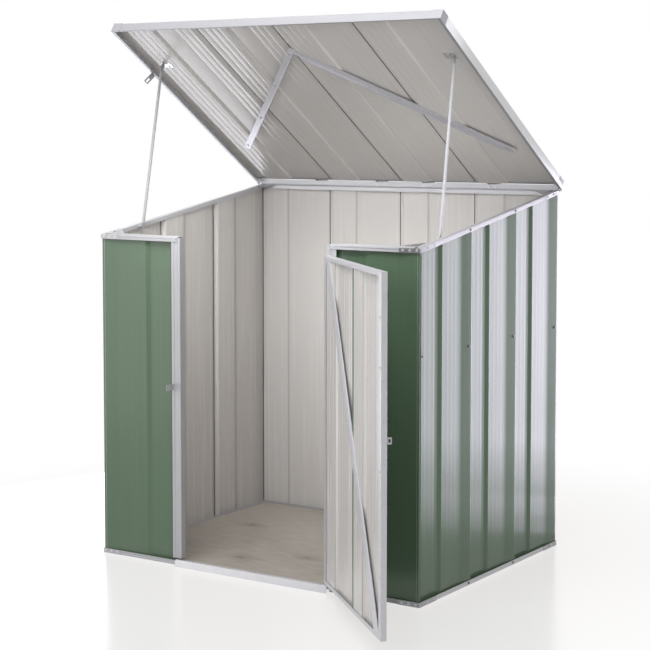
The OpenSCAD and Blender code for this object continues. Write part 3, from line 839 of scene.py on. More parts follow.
@dataclass
class Walls(Assembly):
    """Wall sheets, green outside and off-white inside."""

    base: float = 0.0012
    side_end: float = 0.012
    front_end: float = 0.0109

    def build(self) -> None:
        """Builds the five runs of sheets."""
        for side in Side:
            self._side(side)
            self._front(side)
        self._back()

    def _up(self, top: float, t: float) -> float:
        """Height of a stop between the sheet's foot and its top."""
        return self.base + t * (top - self.base)

    @staticmethod
    def _screw_lines(start: float, count: int) -> list[float]:
        """Places of the screws beside the lap lines of a row."""
        return [start + i * PROFILE.cover - (0.012 if i else -0.004) for i in range(count + 1)]

    def _side(self, side: Side) -> None:
        """One side wall, cut off under the roof slope.

        Args:
            side: which side.
        """
        def place(s: float, h: float, t: float) -> Vector:
            """Point of the side wall."""
            y = s - SIZES.lap_y
            x = side.value * (SIZES.wall_x + h - PROFILE.crown)
            return Vector((x, y, self._up(SIZES.roof(y) - SIZES.slip, t)))

        builder = MeshBuilder(f"{side.word}_wall_sheets")
        profile = SMOOTH_PROFILE if side is Side.RIGHT else PROFILE
        profile.row(builder, 3, self.side_end, self.side_end, place)
        builder.finish(self.body, *self.palette.sheet, slot="painted_sheet")
        for y in self._screw_lines(-SIZES.lap_y, 3):
            point = Vector((side.value * (SIZES.wall_x + 0.0005), y, SIZES.wall_screw_z))
            self.screws.add(Head.SCREW, point, Vector((side.value, 0, 0)))

    def _back(self) -> None:
        """The back wall, with strips of painted shade in its two inner corners."""
        top = SIZES.roof(SIZES.in_y) - SIZES.slip

        def place(s: float, h: float, t: float) -> Vector:
            """Point of the back wall."""
            return Vector((s - SIZES.lap_x, SIZES.wall_y + h - PROFILE.crown, self._up(top, t)))

        builder = MeshBuilder("back_wall_sheets")
        PROFILE.row(builder, 4, self.front_end, self.front_end, place)
        for side in Side:
            def corner(a: float, b: float, t: float) -> Vector:
                """Point of the painted shade strip in an inner corner."""
                return Vector((side.value * a, b, self._up(top, t)))

            # Dark strips in the two inner corners: painted shade.
            builder.strip([(0.6950, 0.5215), (0.6985, 0.5180)], PROFILE.thickness, corner, 2)
        builder.finish(self.body, *self.palette.sheet, slot="painted_sheet")
        for x in self._screw_lines(-SIZES.lap_x, 4):
            self.screws.add(Head.SCREW, Vector((x, SIZES.wall_y + 0.0005, SIZES.wall_screw_z)), BACK)

    def _front(self, side: Side) -> None:
        """One front sheet, from the jamb to the corner.

        Args:
            side: which side.
        """
        def place(s: float, h: float, t: float) -> Vector:
            """Point of the front sheet."""
            x = side.value * (PROFILE.cover + s)
            return Vector((x, PROFILE.crown - SIZES.wall_y - h, self._up(SIZES.front_h - SIZES.slip, t)))

        builder = MeshBuilder(f"front_{side.word}_sheet")
        PROFILE.row(builder, 1, 0.0, self.front_end, place)
        builder.finish(self.body, *self.palette.sheet, slot="painted_sheet")


@dataclass
class WallFrame(Assembly):
    """Rails, brackets, jambs and threshold of the shell."""

    bend: float = 0.0025
    bead: float = 0.0009
    stud_r: float = 0.005
    upstands: tuple[Point2, ...] = ((-0.715, -0.427), (-0.393, -0.127), (-0.093, 0.093), (0.127, 0.393),
                                    (0.427, 0.715))

    def build(self) -> None:
        """Builds the galvanised frame and notes its fasteners."""
        for side in Side:
            self._side_rails(side)
            self._front_rails(side)
            self._jamb(side)
        self._back_rails()
        self._threshold()
        self._top_brackets()
        self._base_brackets()

    def _line(self, outer: float, inner: float, height: float, beaded: bool = True) -> list[Point2]:
        """Section of a rail: outer flange, web and inner flange.

        Args:
            outer: place of the outer face.
            inner: place of the inner face.
            height: height of the flanges.
            beaded: whether the outer flange has a rolled bead.

        Returns:
            Points (place across the rail, distance from the web).
        """
        deep = outer + (self.bead if inner > outer else -self.bead)
        line = [(outer, height)]
        if beaded:
            shares = ((outer, 0.66), (deep, 0.60), (deep, 0.46), (outer, 0.40))
            line += [(x, height * share) for x, share in shares]
        bent = rounded([*line, (outer, 0.0), (inner, 0.0), (inner, height)], self.bend)
        return bent[::-1] if inner > outer else bent

    @staticmethod
    def _run(start: float, end: float, top: bool, sign: int = 0) -> Place:
        """Gives the points of a straight rail.

        Args:
            start: where the rail starts.
            end: where it ends.
            top: whether it hangs from the roof slope, or stands on the ground.
            sign: side of a rail that runs with the depth, or 0 for one that runs across.

        Returns:
            The function of a place across the rail, a distance from its web and a stop.
        """
        def place(a: float, b: float, t: float) -> Vector:
            """Point of the rail."""
            along = start + (end - start) * t
            x, y = (sign * a, along) if sign else (along, a)
            return Vector((x, y, SIZES.roof(y) - b if top else b))

        return place

    def _side_rails(self, side: Side) -> None:
        """Top and base rail of one side, with the boss that carries the prop's stud.

        Args:
            side: which side.
        """
        sign, depth = side.value, SIZES.half_d
        web_in = SIZES.half_w - SIZES.side_web
        builder = MeshBuilder(f"top_rail_{side.word}")
        line = self._line(SIZES.half_w, web_in, SIZES.top_rail_h, False)
        builder.strip(line, SIZES.steel, self._run(-depth, depth, True, sign))
        foot_y = -depth + SIZES.prop_foot
        foot_z = SIZES.roof(foot_y) - SIZES.top_rail_h / 2
        turns = [k * math.pi / 8 for k in range(16)][::sign]
        rim = [(foot_y + self.stud_r * math.cos(k), foot_z + self.stud_r * math.sin(k)) for k in turns]
        ends = (sign * SIZES.in_x, sign * (web_in + 0.001))
        builder.prism(*[[Vector((x, y, z)) for y, z in rim] for x in ends])
        # Left top rail in the lighter zinc copy as painted light, right one in the plain zinc.
        builder.finish(self.body, self.palette.pale if side is Side.LEFT else self.palette.zinc)
        low = self._line(SIZES.half_w, SIZES.in_x, SIZES.base_rail_h, False)
        # Side base rails in the lighter zinc copy: painted light.
        self.fold(f"base_rail_{side.word}", low, self._run(-depth, depth, False, sign), self.palette.pale)
        for i in (1, 2):
            y = -SIZES.lap_y + i * PROFILE.cover - 0.010
            for z in (SIZES.roof(y) - SIZES.top_screw, SIZES.base_screw):
                self.screws.add(Head.SCREW, Vector((sign * SIZES.half_w, y, z)), Vector((sign, 0, 0)))

    def _front_rails(self, side: Side) -> None:
        """Top and base rail beside the doorway.

        Args:
            side: which side.
        """
        sign, depth = side.value, -SIZES.half_d
        ends = (sign * SIZES.rail_end, sign * SIZES.in_x)
        line = self._line(depth, -SIZES.in_y, SIZES.top_rail_h)
        self.fold(f"top_rail_front_{side.word}", line, self._run(*ends, True), self.palette.zinc)
        low = self._line(depth, -SIZES.in_y, SIZES.base_rail_h)
        # Front right base rail in the darker zinc copy: painted shade.
        finish = self.palette.zinc if side is Side.LEFT else self.palette.shaded_zinc
        self.fold(f"base_rail_front_{side.word}", low, self._run(*ends, False), finish)
        for z in (SIZES.front_h - SIZES.top_screw, SIZES.base_screw):
            self.screws.add(Head.RIVET, Vector((sign * (SIZES.rail_end + 0.014), depth, z)), -BACK)

    def _back_rails(self) -> None:
        """Top and base rail of the back wall, and the upstand between the lid hinges."""
        depth, ends = SIZES.half_d, (-SIZES.in_x, SIZES.in_x)
        builder = MeshBuilder("top_rail_back")
        builder.strip(self._line(depth, SIZES.in_y, SIZES.top_rail_h), SIZES.steel, self._run(*ends, True))
        rise = [(depth, SIZES.back_h + SIZES.upstand_h), (depth, SIZES.roof(depth) - 0.004)]
        for first, last in self.upstands:
            builder.strip(rise, SIZES.steel, self._run(first, last, False))
        # Back top rail and upstands in the lighter zinc copy: painted light.
        builder.finish(self.body, self.palette.pale)
        low = self._line(depth, SIZES.in_y, SIZES.base_rail_h)
        self.fold("base_rail_back", low, self._run(*ends, False), self.palette.zinc)
        for i in (1, 2, 3):
            x = -SIZES.lap_x + i * PROFILE.cover - 0.010
            for z in (SIZES.roof(depth) - SIZES.top_screw, SIZES.base_screw):
                self.screws.add(Head.SCREW, Vector((x, depth, z)), BACK)

    def _jamb(self, side: Side) -> None:
        """One door jamb, with a recess along its front.

        Args:
            side: which side.
        """
        front, back = SIZES.jamb_front, SIZES.jamb_back
        deep = front + 0.002
        line = [(SIZES.jamb_out, front), (0.3555, front), (0.353, deep), (0.339, deep), (0.3365, front),
                (SIZES.doorway, front), (SIZES.doorway, back), (SIZES.jamb_out, back)]
        low, high = SIZES.threshold_h, SIZES.front_h - SIZES.steel

        def place(a: float, b: float, t: float) -> Vector:
            """Point of the jamb."""
            return Vector((side.value * a, b, low + t * (high - low)))

        self.fold(f"{side.word}_jamb", rounded(line, 0.0018), place, self.palette.zinc)

    def _threshold(self) -> None:
        """The sill strip under the doorway, with a raised front lip."""
        front, back, top = SIZES.threshold_front, -SIZES.in_y, SIZES.threshold_h
        tread = top - SIZES.threshold_drop
        line = rounded([(front, 0.0), (front + 0.006, top), (front + 0.012, top), (front + 0.014, tread),
                        (back, tread), (back, 0.0)], 0.003)
        place = self._run(-SIZES.rail_end, SIZES.rail_end, False)
        # Threshold in the lighter zinc copy: painted light.
        self.fold("door_threshold", line, place, self.palette.pale)
        for x in (-0.305, -0.285, 0.0, 0.285, 0.305):
            self.screws.add(Head.RIVET, Vector((x, -0.516, tread)), UP)

    @staticmethod
    def _corner() -> list[Point2]:
        """Outer line of a folded corner plate, in plan."""
        x, y = SIZES.half_w + SIZES.corner_plate, SIZES.half_d + SIZES.corner_plate
        arms = (SIZES.half_w - SIZES.front_arm, y), (x, SIZES.half_d - SIZES.side_arm)
        return rounded([arms[0], (x, y), arms[1]], 0.004)

    def _top_brackets(self) -> None:
        """Folded plates and gussets at the four top corners; the front right gusset and a plate over that
        bracket's face are dark steel, as painted shade.
        """
        builder = MeshBuilder("top_corner_brackets")
        x_in, y_in, arm = SIZES.in_x, SIZES.in_y, SIZES.gusset
        plan = [(x_in, y_in), (x_in - arm, y_in), (x_in, y_in - arm)]
        for side in Side:
            for end in ENDS:
                def place(a: float, b: float, t: float) -> Vector:
                    """Point of the folded plate."""
                    return Vector((side.value * a, end * b, SIZES.roof(end * b) - SIZES.top_rail_h * (1 - t)))

                # The front right gusset takes the dark steel: painted shade.
                dark = int(side is Side.RIGHT and end < 0)
                builder.strip(self._corner(), SIZES.corner_plate, place)
                high = [Vector((side.value * x, end * y, SIZES.roof(end * y))) for x, y in plan]
                builder.prism([p - UP * SIZES.steel for p in high], high, dark)
                self._bracket_heads(side.value, end)
        # Thin dark steel plate over the front right bracket's face: painted shade.
        rim = 0.0005
        low, high = SIZES.front_h - SIZES.top_rail_h + rim, SIZES.front_h - rim
        left, right = SIZES.half_w - SIZES.front_arm, SIZES.half_w - 0.003
        face = [(left, low), (right, low), (right, high), (left, high)]
        depths = (-SIZES.half_d - 0.0014, -SIZES.half_d - 0.0008)
        builder.prism(*[[Vector((x, y, z)) for x, z in face] for y in depths], 1)
        builder.finish(self.body, self.palette.zinc, self.palette.iron)

    def _bracket_heads(self, sign: int, end: int) -> None:
        """Notes the rivets of one top and one base corner.

        Args:
            sign: side of the corner, as the sign of X.
            end: end of the corner, as the sign of Y.
        """
        x_face, y_face = SIZES.half_w + SIZES.corner_plate, SIZES.half_d + SIZES.corner_plate
        for d in (0.014, 0.042, 0.070):
            for z in (SIZES.roof(end * SIZES.half_d) - SIZES.top_screw, SIZES.base_screw):
                self.screws.add(Head.RIVET, Vector((sign * (SIZES.half_w - d), end * y_face, z)), BACK * end)
        for d in (0.052, 0.098):
            y = end * (SIZES.half_d - d)
            for z in (SIZES.roof(y) - SIZES.top_screw, SIZES.base_screw):
                self.screws.add(Head.RIVET, Vector((sign * x_face, y, z)), Vector((sign, 0, 0)))
        slope = Vector((0, -(SIZES.back_h - SIZES.front_h), 2 * SIZES.half_d))
        for dx, dy in ((0.015, 0.060), (0.070, 0.015), (0.015, 0.015)):
            y = end * (SIZES.half_d - dy)
            self.screws.add(Head.RIVET, Vector((sign * (SIZES.half_w - dx), y, SIZES.roof(y))), slope)

    def _base_brackets(self) -> None:
        """Folded plates at the four base corners."""
        builder = MeshBuilder("base_corner_brackets")
        for side in Side:
            for end in ENDS:
                def place(a: float, b: float, t: float) -> Vector:
                    """Point of the folded plate."""
                    return Vector((side.value * a, end * b, SIZES.base_rail_h * t))

                builder.strip(self._corner(), SIZES.corner_plate, place)
        builder.finish(self.body, self.palette.zinc)


@dataclass
class Lid(Assembly):
    """The roof that lifts, with its edges and braces."""

    bend: float = 0.002
    brace_half: float = 0.0125
    brace_lip: float = 0.014
    brace_apex: float = 0.183
    brace_foot: Point2 = (0.6275, 0.274)
    brace_fade: float = 0.07

    def build(self) -> None:
        """Builds the sheets, edges and braces and notes the fasteners."""
        self._sheets()
        for side in Side:
            self._side_edge(side)
        self._cross_edge("lid_front_edge", SIZES.lid_end, -1, SIZES.edge_h)
        self._cross_edge("lid_back_edge", SIZES.lid_start, 1, SIZES.back_edge_h)
        self._heads()
        for side in Side:
            self._brace(side)

    def _sheets(self) -> None:
        """The roof sheets, green on top."""
        start, end = SIZES.lid_start + SIZES.slip, SIZES.lid_end - SIZES.slip
        crown = SIZES.lid_rise - SIZES.steel

        def place(s: float, h: float, t: float) -> Vector:
            """Point of the roof sheet."""
            return SIZES.on_lid(s - SIZES.lap_x, start + (end - start) * t, crown + h - LID_PROFILE.crown)

        builder = MeshBuilder("lid_sheets")
        LID_PROFILE.row(builder, 4, 0.033, 0.033, place)
        builder.finish(self.body, *self.palette.roof, slot="painted_sheet")

    def _side_edge(self, side: Side) -> None:
        """Folded angle along one side, with an ear at the hinge end and a lip below.

        Args:
            side: which side.
        """
        half, rise, start = SIZES.lid_half, SIZES.lid_rise, SIZES.lid_start
        low = rise - SIZES.edge_h
        line = rounded([(half - SIZES.edge_flange, rise), (half, rise), (half, low), (half - 0.003, low)],
                       self.bend)

        def place(a: float, b: float, t: float) -> Vector:
            """Point of a side edge."""
            return SIZES.on_lid(side.value * a, start + (SIZES.lid_end - start) * t, b)

        builder = MeshBuilder(f"lid_{side.word}_edge")
        builder.strip(line, SIZES.steel, place)
        lap, tip = start + 0.001, -0.002
        ear = [(lap, low), (0.004, low), (tip, low + 0.010), (tip, rise), (lap, rise)]
        faces = (half - SIZES.steel, half)
        builder.prism(*[[SIZES.on_lid(side.value * x, v, w) for v, w in ear] for x in faces])
        # Strip along the foot of the edge in the darker zinc copy: painted shade beside the edge.
        builder.strip([(half - 0.002, low), (half - 0.013, low)], SIZES.steel, place, 1)
        # Right edge in the near-white zinc copy as painted highlight, left edge in the lighter copy as
        # painted light.
        finish = self.palette.bright if side is Side.RIGHT else self.palette.pale
        builder.finish(self.body, finish, self.palette.shaded_zinc)

    def _cross_edge(self, node: str, v: float, inward: int, height: float) -> None:
        """Front or back edge.

        Args:
            node: the CAD node.
            v: place of the outer face.
            inward: direction from the outer face into the lid.
            height: depth of the edge.
        """
        rise, half = SIZES.lid_rise - 0.0002, SIZES.lid_half - SIZES.steel
        line = rounded([(v + inward * 0.005, rise - height), (v, rise - height), (v, rise),
                        (v + inward * SIZES.edge_flange, rise)], self.bend)

        def place(a: float, b: float, t: float) -> Vector:
            """Point of the edge."""
            return SIZES.on_lid(-half + 2 * half * t, a, b)

        # Front and back edges in the darker zinc copy: painted shade.
        self.fold(node, line[::inward], place, self.palette.shaded_zinc)

    def _heads(self) -> None:
        """Notes the screws along the lid's edges."""
        out, start, end = SIZES.lid_way(1), SIZES.lid_start, SIZES.lid_end
        for i in range(5):
            x = max(-0.66, min(0.66, -SIZES.lap_x + i * PROFILE.cover))
            for v in (end - SIZES.edge_screw, start + SIZES.edge_screw):
                self.screws.add(Head.SCREW, SIZES.on_lid(x, v, SIZES.lid_rise), out)
        for sign in ENDS:
            x = sign * (SIZES.lid_half - SIZES.edge_screw)
            for i in range(1, 6):
                v = start + i * (end - start) / 6
                self.screws.add(Head.SCREW, SIZES.on_lid(x, v, SIZES.lid_rise), out)

    def _brace(self, side: Side) -> None:
        """One arm of the V under the lid: an angle whose lip fades at its ends.

        Args:
            side: which side.
        """
        low = SIZES.lid_rise - SIZES.steel - PROFILE.crown - PROFILE.thickness
        under, half = low - SIZES.plate, self.brace_half
        apex, foot = Vector((0.0, SIZES.lid_end - self.brace_apex)), Vector(self.brace_foot)
        run = (foot - apex).normalized()
        across = Vector((-run.y, run.x))
        line = rounded([(-half, low - self.brace_lip), (-half, low), (half, low)], self.bend)

        def place(a: float, b: float, t: float) -> Vector:
            """Point of the brace, cut off along the middle of the lid."""
            begin = apex + across * a
            begin -= run * (begin.x / run.x)
            p = begin.lerp(foot + across * a, t)
            lip = min(1.0, 0.1 + min(t, 1 - t) / self.brace_fade)
            return SIZES.on_lid(side.value * p.x, p.y, max(b, under) + min(0.0, b - under) * lip)

        stops = (0.0, self.brace_fade, 0.5, 1 - self.brace_fade, 1.0)
        # The brace is drawn in the lighter zinc copy: painted light.
        self.fold(f"lid_brace_{side.word}", line, place, self.palette.pale, SIZES.plate, stops)
        for share in (0.04, 0.34, 0.66, 0.965):
            p = apex.lerp(foot, share)
            self.screws.add(Head.RIVET, SIZES.on_lid(side.value * p.x, p.y, under), SIZES.lid_way(-1))


@dataclass
class Door(Assembly):
    """The hinged door: two sheets in a channel frame with a diagonal brace."""

    bend: float = 0.002
    gap: float = 0.0003
    brace_w: float = 0.050
    brace_face: float = -0.5401
    brace_t: float = 0.0009
    brace_pieces: int = 24

    def build(self) -> None:
        """Builds the door and notes its fasteners."""
        self._sheets()
        self._frame()
        self._brace()
        self._heads()

    def _sheets(self) -> None:
        """The two sheets, and the hem at their lap."""
        low, high = SIZES.door_z + SIZES.steel, SIZES.door_top - SIZES.slip

        def place(s: float, h: float, t: float) -> Vector:
            """Point of the door sheet."""
            y = SIZES.door_sheet + PROFILE.crown - h
            return SIZES.on_door(PROFILE.cover - s, y, low + (high - low) * t)

        builder = MeshBuilder("door_sheets")
        PROFILE.row(builder, 2, 0.0, 0.0, place)
        hem = [(PROFILE.cover + s, -0.0009) for s in (0.0135, 0.0255)]
        builder.strip(hem, PROFILE.shade_line_t, place)
        builder.finish(self.body, *self.palette.sheet, slot="painted_sheet")

    def _frame(self) -> None:
        """Channels along the four edges, with plates that close the stiles' ends."""
        half, reach = SIZES.door_half, SIZES.door_half - SIZES.stile_w
        front, back, low, high = SIZES.door_out, SIZES.door_in, SIZES.door_z, SIZES.door_top
        stile = rounded([(reach, back), (half, back), (half, front), (reach, front)], self.bend)
        inset = 0.001
        x_out, y_front, y_back = half - inset, front + inset, back - inset
        plan = [(reach, y_front), (x_out, y_front), (x_out, y_back), (reach, y_back)]
        for sign, node in ((1, "door_hinge_stile"), (-1, "door_latch_stile")):
            def upright(a: float, b: float, t: float) -> Vector:
                """Point of a stile."""
                return SIZES.on_door(sign * a, b, low + (high - low) * t)

            builder = MeshBuilder(node)
            builder.strip(stile, SIZES.steel, upright)
            for z in (low, high - SIZES.steel):
                levels = (z, z + SIZES.steel)
                builder.prism(*[[SIZES.on_door(sign * x, y, level) for x, y in plan] for level in levels])
            # Stiles in the lighter zinc copy: painted light.
            builder.finish(self.body, self.palette.pale)
        for node, outer, step in (("door_top_rail", high, -1), ("door_bottom_rail", low, 1)):
            tip = outer + step * SIZES.door_rail_h
            line = rounded([(front, tip), (front, outer), (back, outer), (back, tip)], self.bend)

            def level(a: float, b: float, t: float) -> Vector:
                """Point of a rail."""
                return SIZES.on_door(-reach + 2 * reach * t, a, b)

            # Rails in the lighter zinc copy: painted light.
            self.fold(node, line[::-step], level, self.palette.pale)

    def _brace(self) -> None:
        """Folded strip from the top hinge corner to the bottom free corner."""
        x_end = SIZES.door_half - SIZES.stile_w - self.gap
        z_low = SIZES.door_z + SIZES.door_rail_h + self.gap
        z_high = SIZES.door_top - SIZES.door_rail_h - self.gap
        middle, half = (z_low + z_high) / 2, self.brace_w / 2
        run = Vector((2 * x_end - self.brace_w, z_high - z_low)).normalized()
        across = Vector((-run.y, run.x))
        foot, top = -0.0002, 0.0026
        line = rounded([(-half, foot), (-half, top), (half, top), (half, foot)], 0.0012)

        def place(a: float, b: float, t: float) -> Vector:
            """Point of the brace, cut off level at its ends."""
            z = z_low + (z_high - z_low) * t
            begin = across * a
            x = begin.x + run.x / run.y * (z - middle - begin.y)
            return SIZES.on_door(max(-x_end, min(x_end, x)), self.brace_face + b, z)

        stops = [i / self.brace_pieces for i in range(self.brace_pieces + 1)]
        # Brace in the lighter zinc copy: painted light.
        self.fold("door_brace", line, place, self.palette.pale, self.brace_t, stops)

    def _heads(self) -> None:
        """Notes the fasteners of the door's inner side and free edge."""
        stile = 0.3405
        spots = [*((-stile, z) for z in (1.055, 0.898, 0.575, 0.245)),
                 *((stile, z) for z in (0.985, 0.658, 0.325)), (0.045, 0.66), (0.005, 0.58)]
        for x, z in spots:
            self.screws.add(Head.RIVET, SIZES.on_door(x, SIZES.door_in, z), SIZES.door_way(0, 1))
        depth = (SIZES.door_in + SIZES.door_out) / 2
        for i in range(9):
            point = SIZES.on_door(-SIZES.door_half, depth, SIZES.door_z + 0.05 + i * 0.128)
            self.screws.add(Head.RIVET, point, SIZES.door_way(-1, 0))


@dataclass
class PlainParts:
    """CAD pieces that keep their own shape and take a finish."""

    palette: Palette
    screws: dict[str, FastenerSet]
    lid_hinges: tuple[float, ...] = (-0.41, -0.11, 0.11, 0.41)
    door_hinges: tuple[float, ...] = (0.308, 0.656, 1.004)
    bracket_x: float = 0.630

    def dress(self) -> None:
        """Gives each piece its finish and adds hinge and bracket fasteners."""
        use = self.palette
        # Corner caps take the darker zinc copy as painted shade; the right prop and the wall leaves of the
        # lid hinges take the lighter copy as painted light.
        slots = {
            "floor_board": {"floor_sheet": use.ply},
            "galvanised_frame": {"lid_corner_caps": use.shaded_zinc, "wall_lock_lugs": use.zinc,
                                 "door_lock_lug": use.zinc, "lid_lock_tab": use.zinc, "left_prop": use.zinc,
                                 "right_prop": use.pale},
            "hardware": {"prop_studs": use.plated, "lid_prop_brackets": use.plated,
                         "lid_hinge_wall_leaves": use.pale, "lid_hinge_lid_leaves": use.iron,
                         "door_hinge_jamb_leaves": use.plated, "door_hinge_door_leaves": use.plated},
        }
        for slot, pieces in slots.items():
            for name, material in pieces.items():
                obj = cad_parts[name]
                obj.data.materials.clear()
                obj.data.materials.append(material)
        self._lid_hinges()
        self._door_hinges()
        self._prop_brackets()

    def _lid_hinges(self) -> None:
        """Rivets of the lid hinges."""
        for x in (hinge + dx for hinge in self.lid_hinges for dx in (-0.02, 0.02)):
            on_top = SIZES.on_lid(x, 0.038, SIZES.lid_rise + SIZES.plate)
            behind = Vector((x, SIZES.half_d + SIZES.plate, SIZES.back_h - SIZES.top_screw))
            self.screws["lid"].add(Head.RIVET, on_top, SIZES.lid_way(1))
            self.screws["shell"].add(Head.RIVET, behind, BACK)

    def _door_hinges(self) -> None:
        """Rivets of the door hinges."""
        for z in (hinge + dz for hinge in self.door_hinges for dz in (-0.025, 0.025)):
            point = SIZES.on_door(0.330, SIZES.door_out - SIZES.plate, z)
            self.screws["door"].add(Head.RIVET, point, SIZES.door_way(0, -1))

    def _prop_brackets(self) -> None:
        """Rivets of the prop brackets, on the wide pan at the right and the narrow pan at the left."""
        for sign, seat in ((-1, -0.0098), (1, -0.0028)):
            for dv in (-0.010, 0.010):
                v = SIZES.lid_end - SIZES.prop_set + dv
                point = SIZES.on_lid(sign * self.bracket_x, v, seat - SIZES.plate)
                self.screws["lid"].add(Head.RIVET, point, SIZES.lid_way(-1))


class LampUse(Enum):
    """What a lamp is for: plain light, or a card that shows in reflections."""

    LIGHT = "light"
    CARD = "card"


@dataclass(frozen=True)
class Lamp:
    """A soft area light."""

    name: str
    use: LampUse
    place: Point3
    aim: Point3
    width: float
    height: float
    power: float
    colour: Colour = WHITE
    spread: float = 180.0

    def build(self) -> None:
        """Makes the light."""
        data = bpy.data.lights.new(self.name, "AREA")
        data.shape = "RECTANGLE"
        data.size, data.size_y, data.energy = self.width, self.height, self.power
        data.color, data.spread = self.colour, math.radians(self.spread)
        obj = bpy.data.objects.new(self.name, data)
        obj.location = self.place
        obj.rotation_euler = (Vector(self.aim) - Vector(self.place)).to_track_quat("-Z", "Y").to_euler()
        obj.visible_camera = False
        obj.visible_glossy = self.use is LampUse.CARD
        obj.visible_diffuse = self.use is LampUse.LIGHT
        bpy.context.scene.collection.objects.link(obj)


def right_cards() -> list[Lamp]:
    """Cards beside the right wall, in bands whose power falls towards the ground.

    Returns:
        The bands of the far card, and those of a nearer one that reaches the front corner.
    """
    colour, spread = (0.96, 0.91, 1.06), 36.0
    far = ((0.84, 1.18, 0.13, 1.9), (0.208, 0.083, 0.24, 0.098), (0.125, 0.083, 0.24, 0.081),
           (0.042, 0.083, 0.24, 0.063))
    near = ((0.1125, 0.036), (0.0375, 0.024))
    cards = [Lamp(f"right_card_{i}", LampUse.CARD, (1.345, 1.215, z), (0.872, -0.077, z + rise), 1.2, high,
                  power, colour, spread) for i, (z, high, rise, power) in enumerate(far)]
    cards += [Lamp(f"right_low_card_{i}", LampUse.CARD, (1.022, 0.607, z), (0.785, -0.039, z + 0.146), 1.0,
                   0.075, power, colour, spread) for i, (z, power) in enumerate(near)]
    return cards


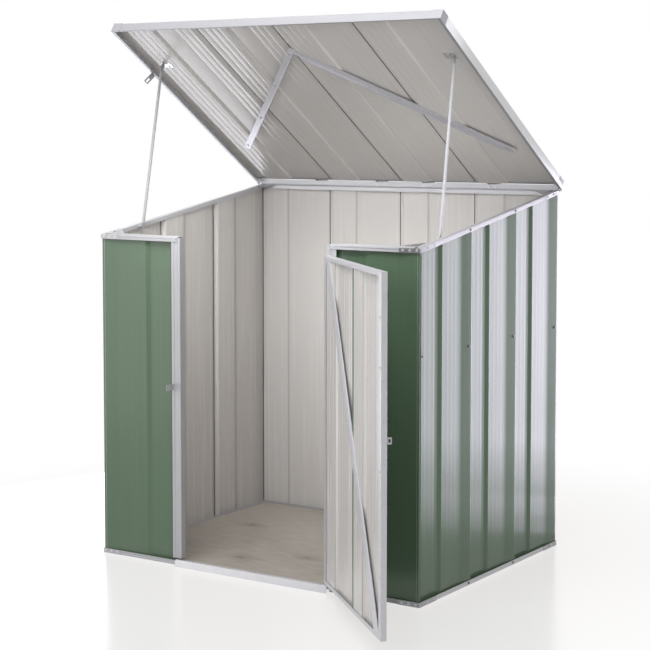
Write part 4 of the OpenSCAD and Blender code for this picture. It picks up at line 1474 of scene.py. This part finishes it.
@dataclass
class Studio:
    """Floor, world, lamps and camera."""

    lamps: tuple[Lamp, ...] = (
        *right_cards(),
        Lamp("left_card", LampUse.CARD, (-2.1, 0.45, 0.35), (-0.5, -0.1, 1.8),
             3.0, 1.8, 62.0, (0.92, 0.92, 1.0)),
        Lamp("front_left_card", LampUse.CARD, (-2.5, -2.8, 0.8), (-0.55, -0.53, 0.7), 1.6, 1.8, 19.0,
             (1.0, 0.98, 0.95)),
        Lamp("high_key", LampUse.LIGHT, (0.2, -1.5, 3.5), (0.0, 0.1, 0.3), 1.8, 1.2, 78.0),
        Lamp("front_fill", LampUse.LIGHT, (-0.6, -4.6, 2.6), (0.0, 0.0, 0.9), 2.4, 2.0, 35.0),
        Lamp("right_fill", LampUse.LIGHT, (3.6, -1.4, 2.0), (0.3, 0.0, 0.9), 1.6, 1.6, 18.0),
        Lamp("inside_fill", LampUse.LIGHT, (0.0, -0.90, 1.75), (0.0, 0.53, 0.80),
             1.0, 0.25, 3.0, spread=64.0),
        Lamp("lid_fill", LampUse.LIGHT, (0.38, -0.15, 1.05), (0.45, 0.0, 1.8), 0.5, 0.5, 0.35, spread=100.0),
        Lamp("left_fill", LampUse.LIGHT, (0.95, -0.62, 1.90), (-0.72, 0.05, 1.42),
             0.4, 0.4, 0.36, spread=44.0),
    )
    fill: float = 0.42
    fill_colour: Colour = (1.0, 0.99, 0.98)
    floor_reach: float = 40.0
    floor_matt: Colour = (0.72, 0.72, 0.72)
    # Warm colour of the floor near the shed: painted shade.
    floor_painted_shade: Colour = (1.0, 0.982, 0.972)
    floor_gloss: float = 0.20

    def build(self) -> None:
        """Builds the studio."""
        bpy.context.scene.view_settings.view_transform = "Standard"
        self._world()
        self._floor()
        for lamp in self.lamps:
            lamp.build()
        self._camera()

    @staticmethod
    def _seen(graph: Graph) -> NodeSocket:
        """Mask of the rays that show the background: camera, glossy and transmission rays."""
        path = graph.add("ShaderNodeLightPath").outputs
        some = graph.math("MAXIMUM", path["Is Camera Ray"], path["Is Glossy Ray"])
        return graph.math("MAXIMUM", some, path["Is Transmission Ray"])

    def _world(self) -> None:
        """White world where it is seen, and a softer fill light."""
        world = bpy.data.worlds.new("studio")
        bpy.context.scene.world = world
        world.use_nodes = True
        graph = Graph(world.node_tree)
        world.node_tree.nodes.clear()
        fill = graph.add("ShaderNodeBackground", {"Color": (*self.fill_colour, 1.0), "Strength": self.fill})
        white = graph.add("ShaderNodeBackground", {"Color": (*WHITE, 1.0), "Strength": 1.0})
        both = graph.add("ShaderNodeMixShader", {0: self._seen(graph), 1: fill.outputs[0],
                                                 2: white.outputs[0]})
        graph.add("ShaderNodeOutputWorld", {"Surface": both.outputs[0]})

    def _floor(self) -> None:
        """Pale floor with a warm painted shade near the shed, fading to white away from it, that keeps its
        shadow.
        """
        mesh = bpy.data.meshes.new("studio_floor")
        far = self.floor_reach
        mesh.from_pydata([(-far, -far, 0), (far, -far, 0), (far, far, 0), (-far, far, 0)], [], [(0, 1, 2, 3)])
        floor = bpy.data.objects.new("studio_floor", mesh)
        bpy.context.scene.collection.objects.link(floor)
        material = bpy.data.materials.new("studio_floor")
        material.use_nodes = True
        graph = Graph(material.node_tree)
        material.node_tree.nodes.clear()
        coords = graph.add("ShaderNodeTexCoord").outputs["Object"]
        away = graph.add("ShaderNodeVectorMath", {0: coords}, operation="LENGTH").outputs["Value"]
        shown = graph.math("MULTIPLY", graph.remap(away, 0.9, 2.2, 0.86, 1.0), self._seen(graph))
        matt = graph.add("ShaderNodeBsdfDiffuse", {"Color": (*self.floor_matt, 1.0)})
        # Warm colour near the shed that fades to white by 2 m: painted shade on the floor.
        near_shade = graph.mix(graph.remap(away, 0.9, 2.0), self.floor_painted_shade, WHITE)
        white = graph.add("ShaderNodeEmission", {"Color": near_shade, "Strength": 1.0})
        gloss = graph.add("ShaderNodeBsdfGlossy", {"Color": (*WHITE, 1.0), "Roughness": 0.2})
        smooth = graph.add("ShaderNodeMixShader", {0: self.floor_gloss, 1: white.outputs[0],
                                                   2: gloss.outputs[0]})
        both = graph.add("ShaderNodeMixShader", {0: shown, 1: matt.outputs[0], 2: smooth.outputs[0]})
        graph.add("ShaderNodeOutputMaterial", {"Surface": both.outputs[0]})
        mesh.materials.append(material)

    @staticmethod
    def _camera() -> None:
        """Camera at the photograph's viewing angle."""
        tilt, turn, shift_pixels, photo_pixels = 3.926, 33.437, -80, 650
        data = bpy.data.cameras.new("camera")
        data.sensor_width, data.lens = 36.0, 94.866
        data.shift_y = shift_pixels / photo_pixels
        camera = bpy.data.objects.new("camera", data)
        camera.location = (3.60335, -5.50596, 1.63669)
        camera.rotation_euler = (math.radians(90 - tilt), 0.0, math.radians(turn))
        bpy.context.scene.collection.objects.link(camera)
        bpy.context.scene.camera = camera


def main() -> None:
    """Builds the shed's looks and the studio around it."""
    logging.basicConfig(level=logging.INFO, format="%(name)s: %(message)s")
    palette = Palette()
    screws = {body: FastenerSet(body) for body in ("shell", "lid", "door")}
    Walls(palette, screws["shell"]).build()
    WallFrame(palette, screws["shell"]).build()
    Lid(palette, screws["lid"]).build()
    Door(palette, screws["door"]).build()
    PlainParts(palette, screws).dress()
    for heads in screws.values():
        heads.build(palette)
    Studio().build()


if __name__ == "__main__":
    main()
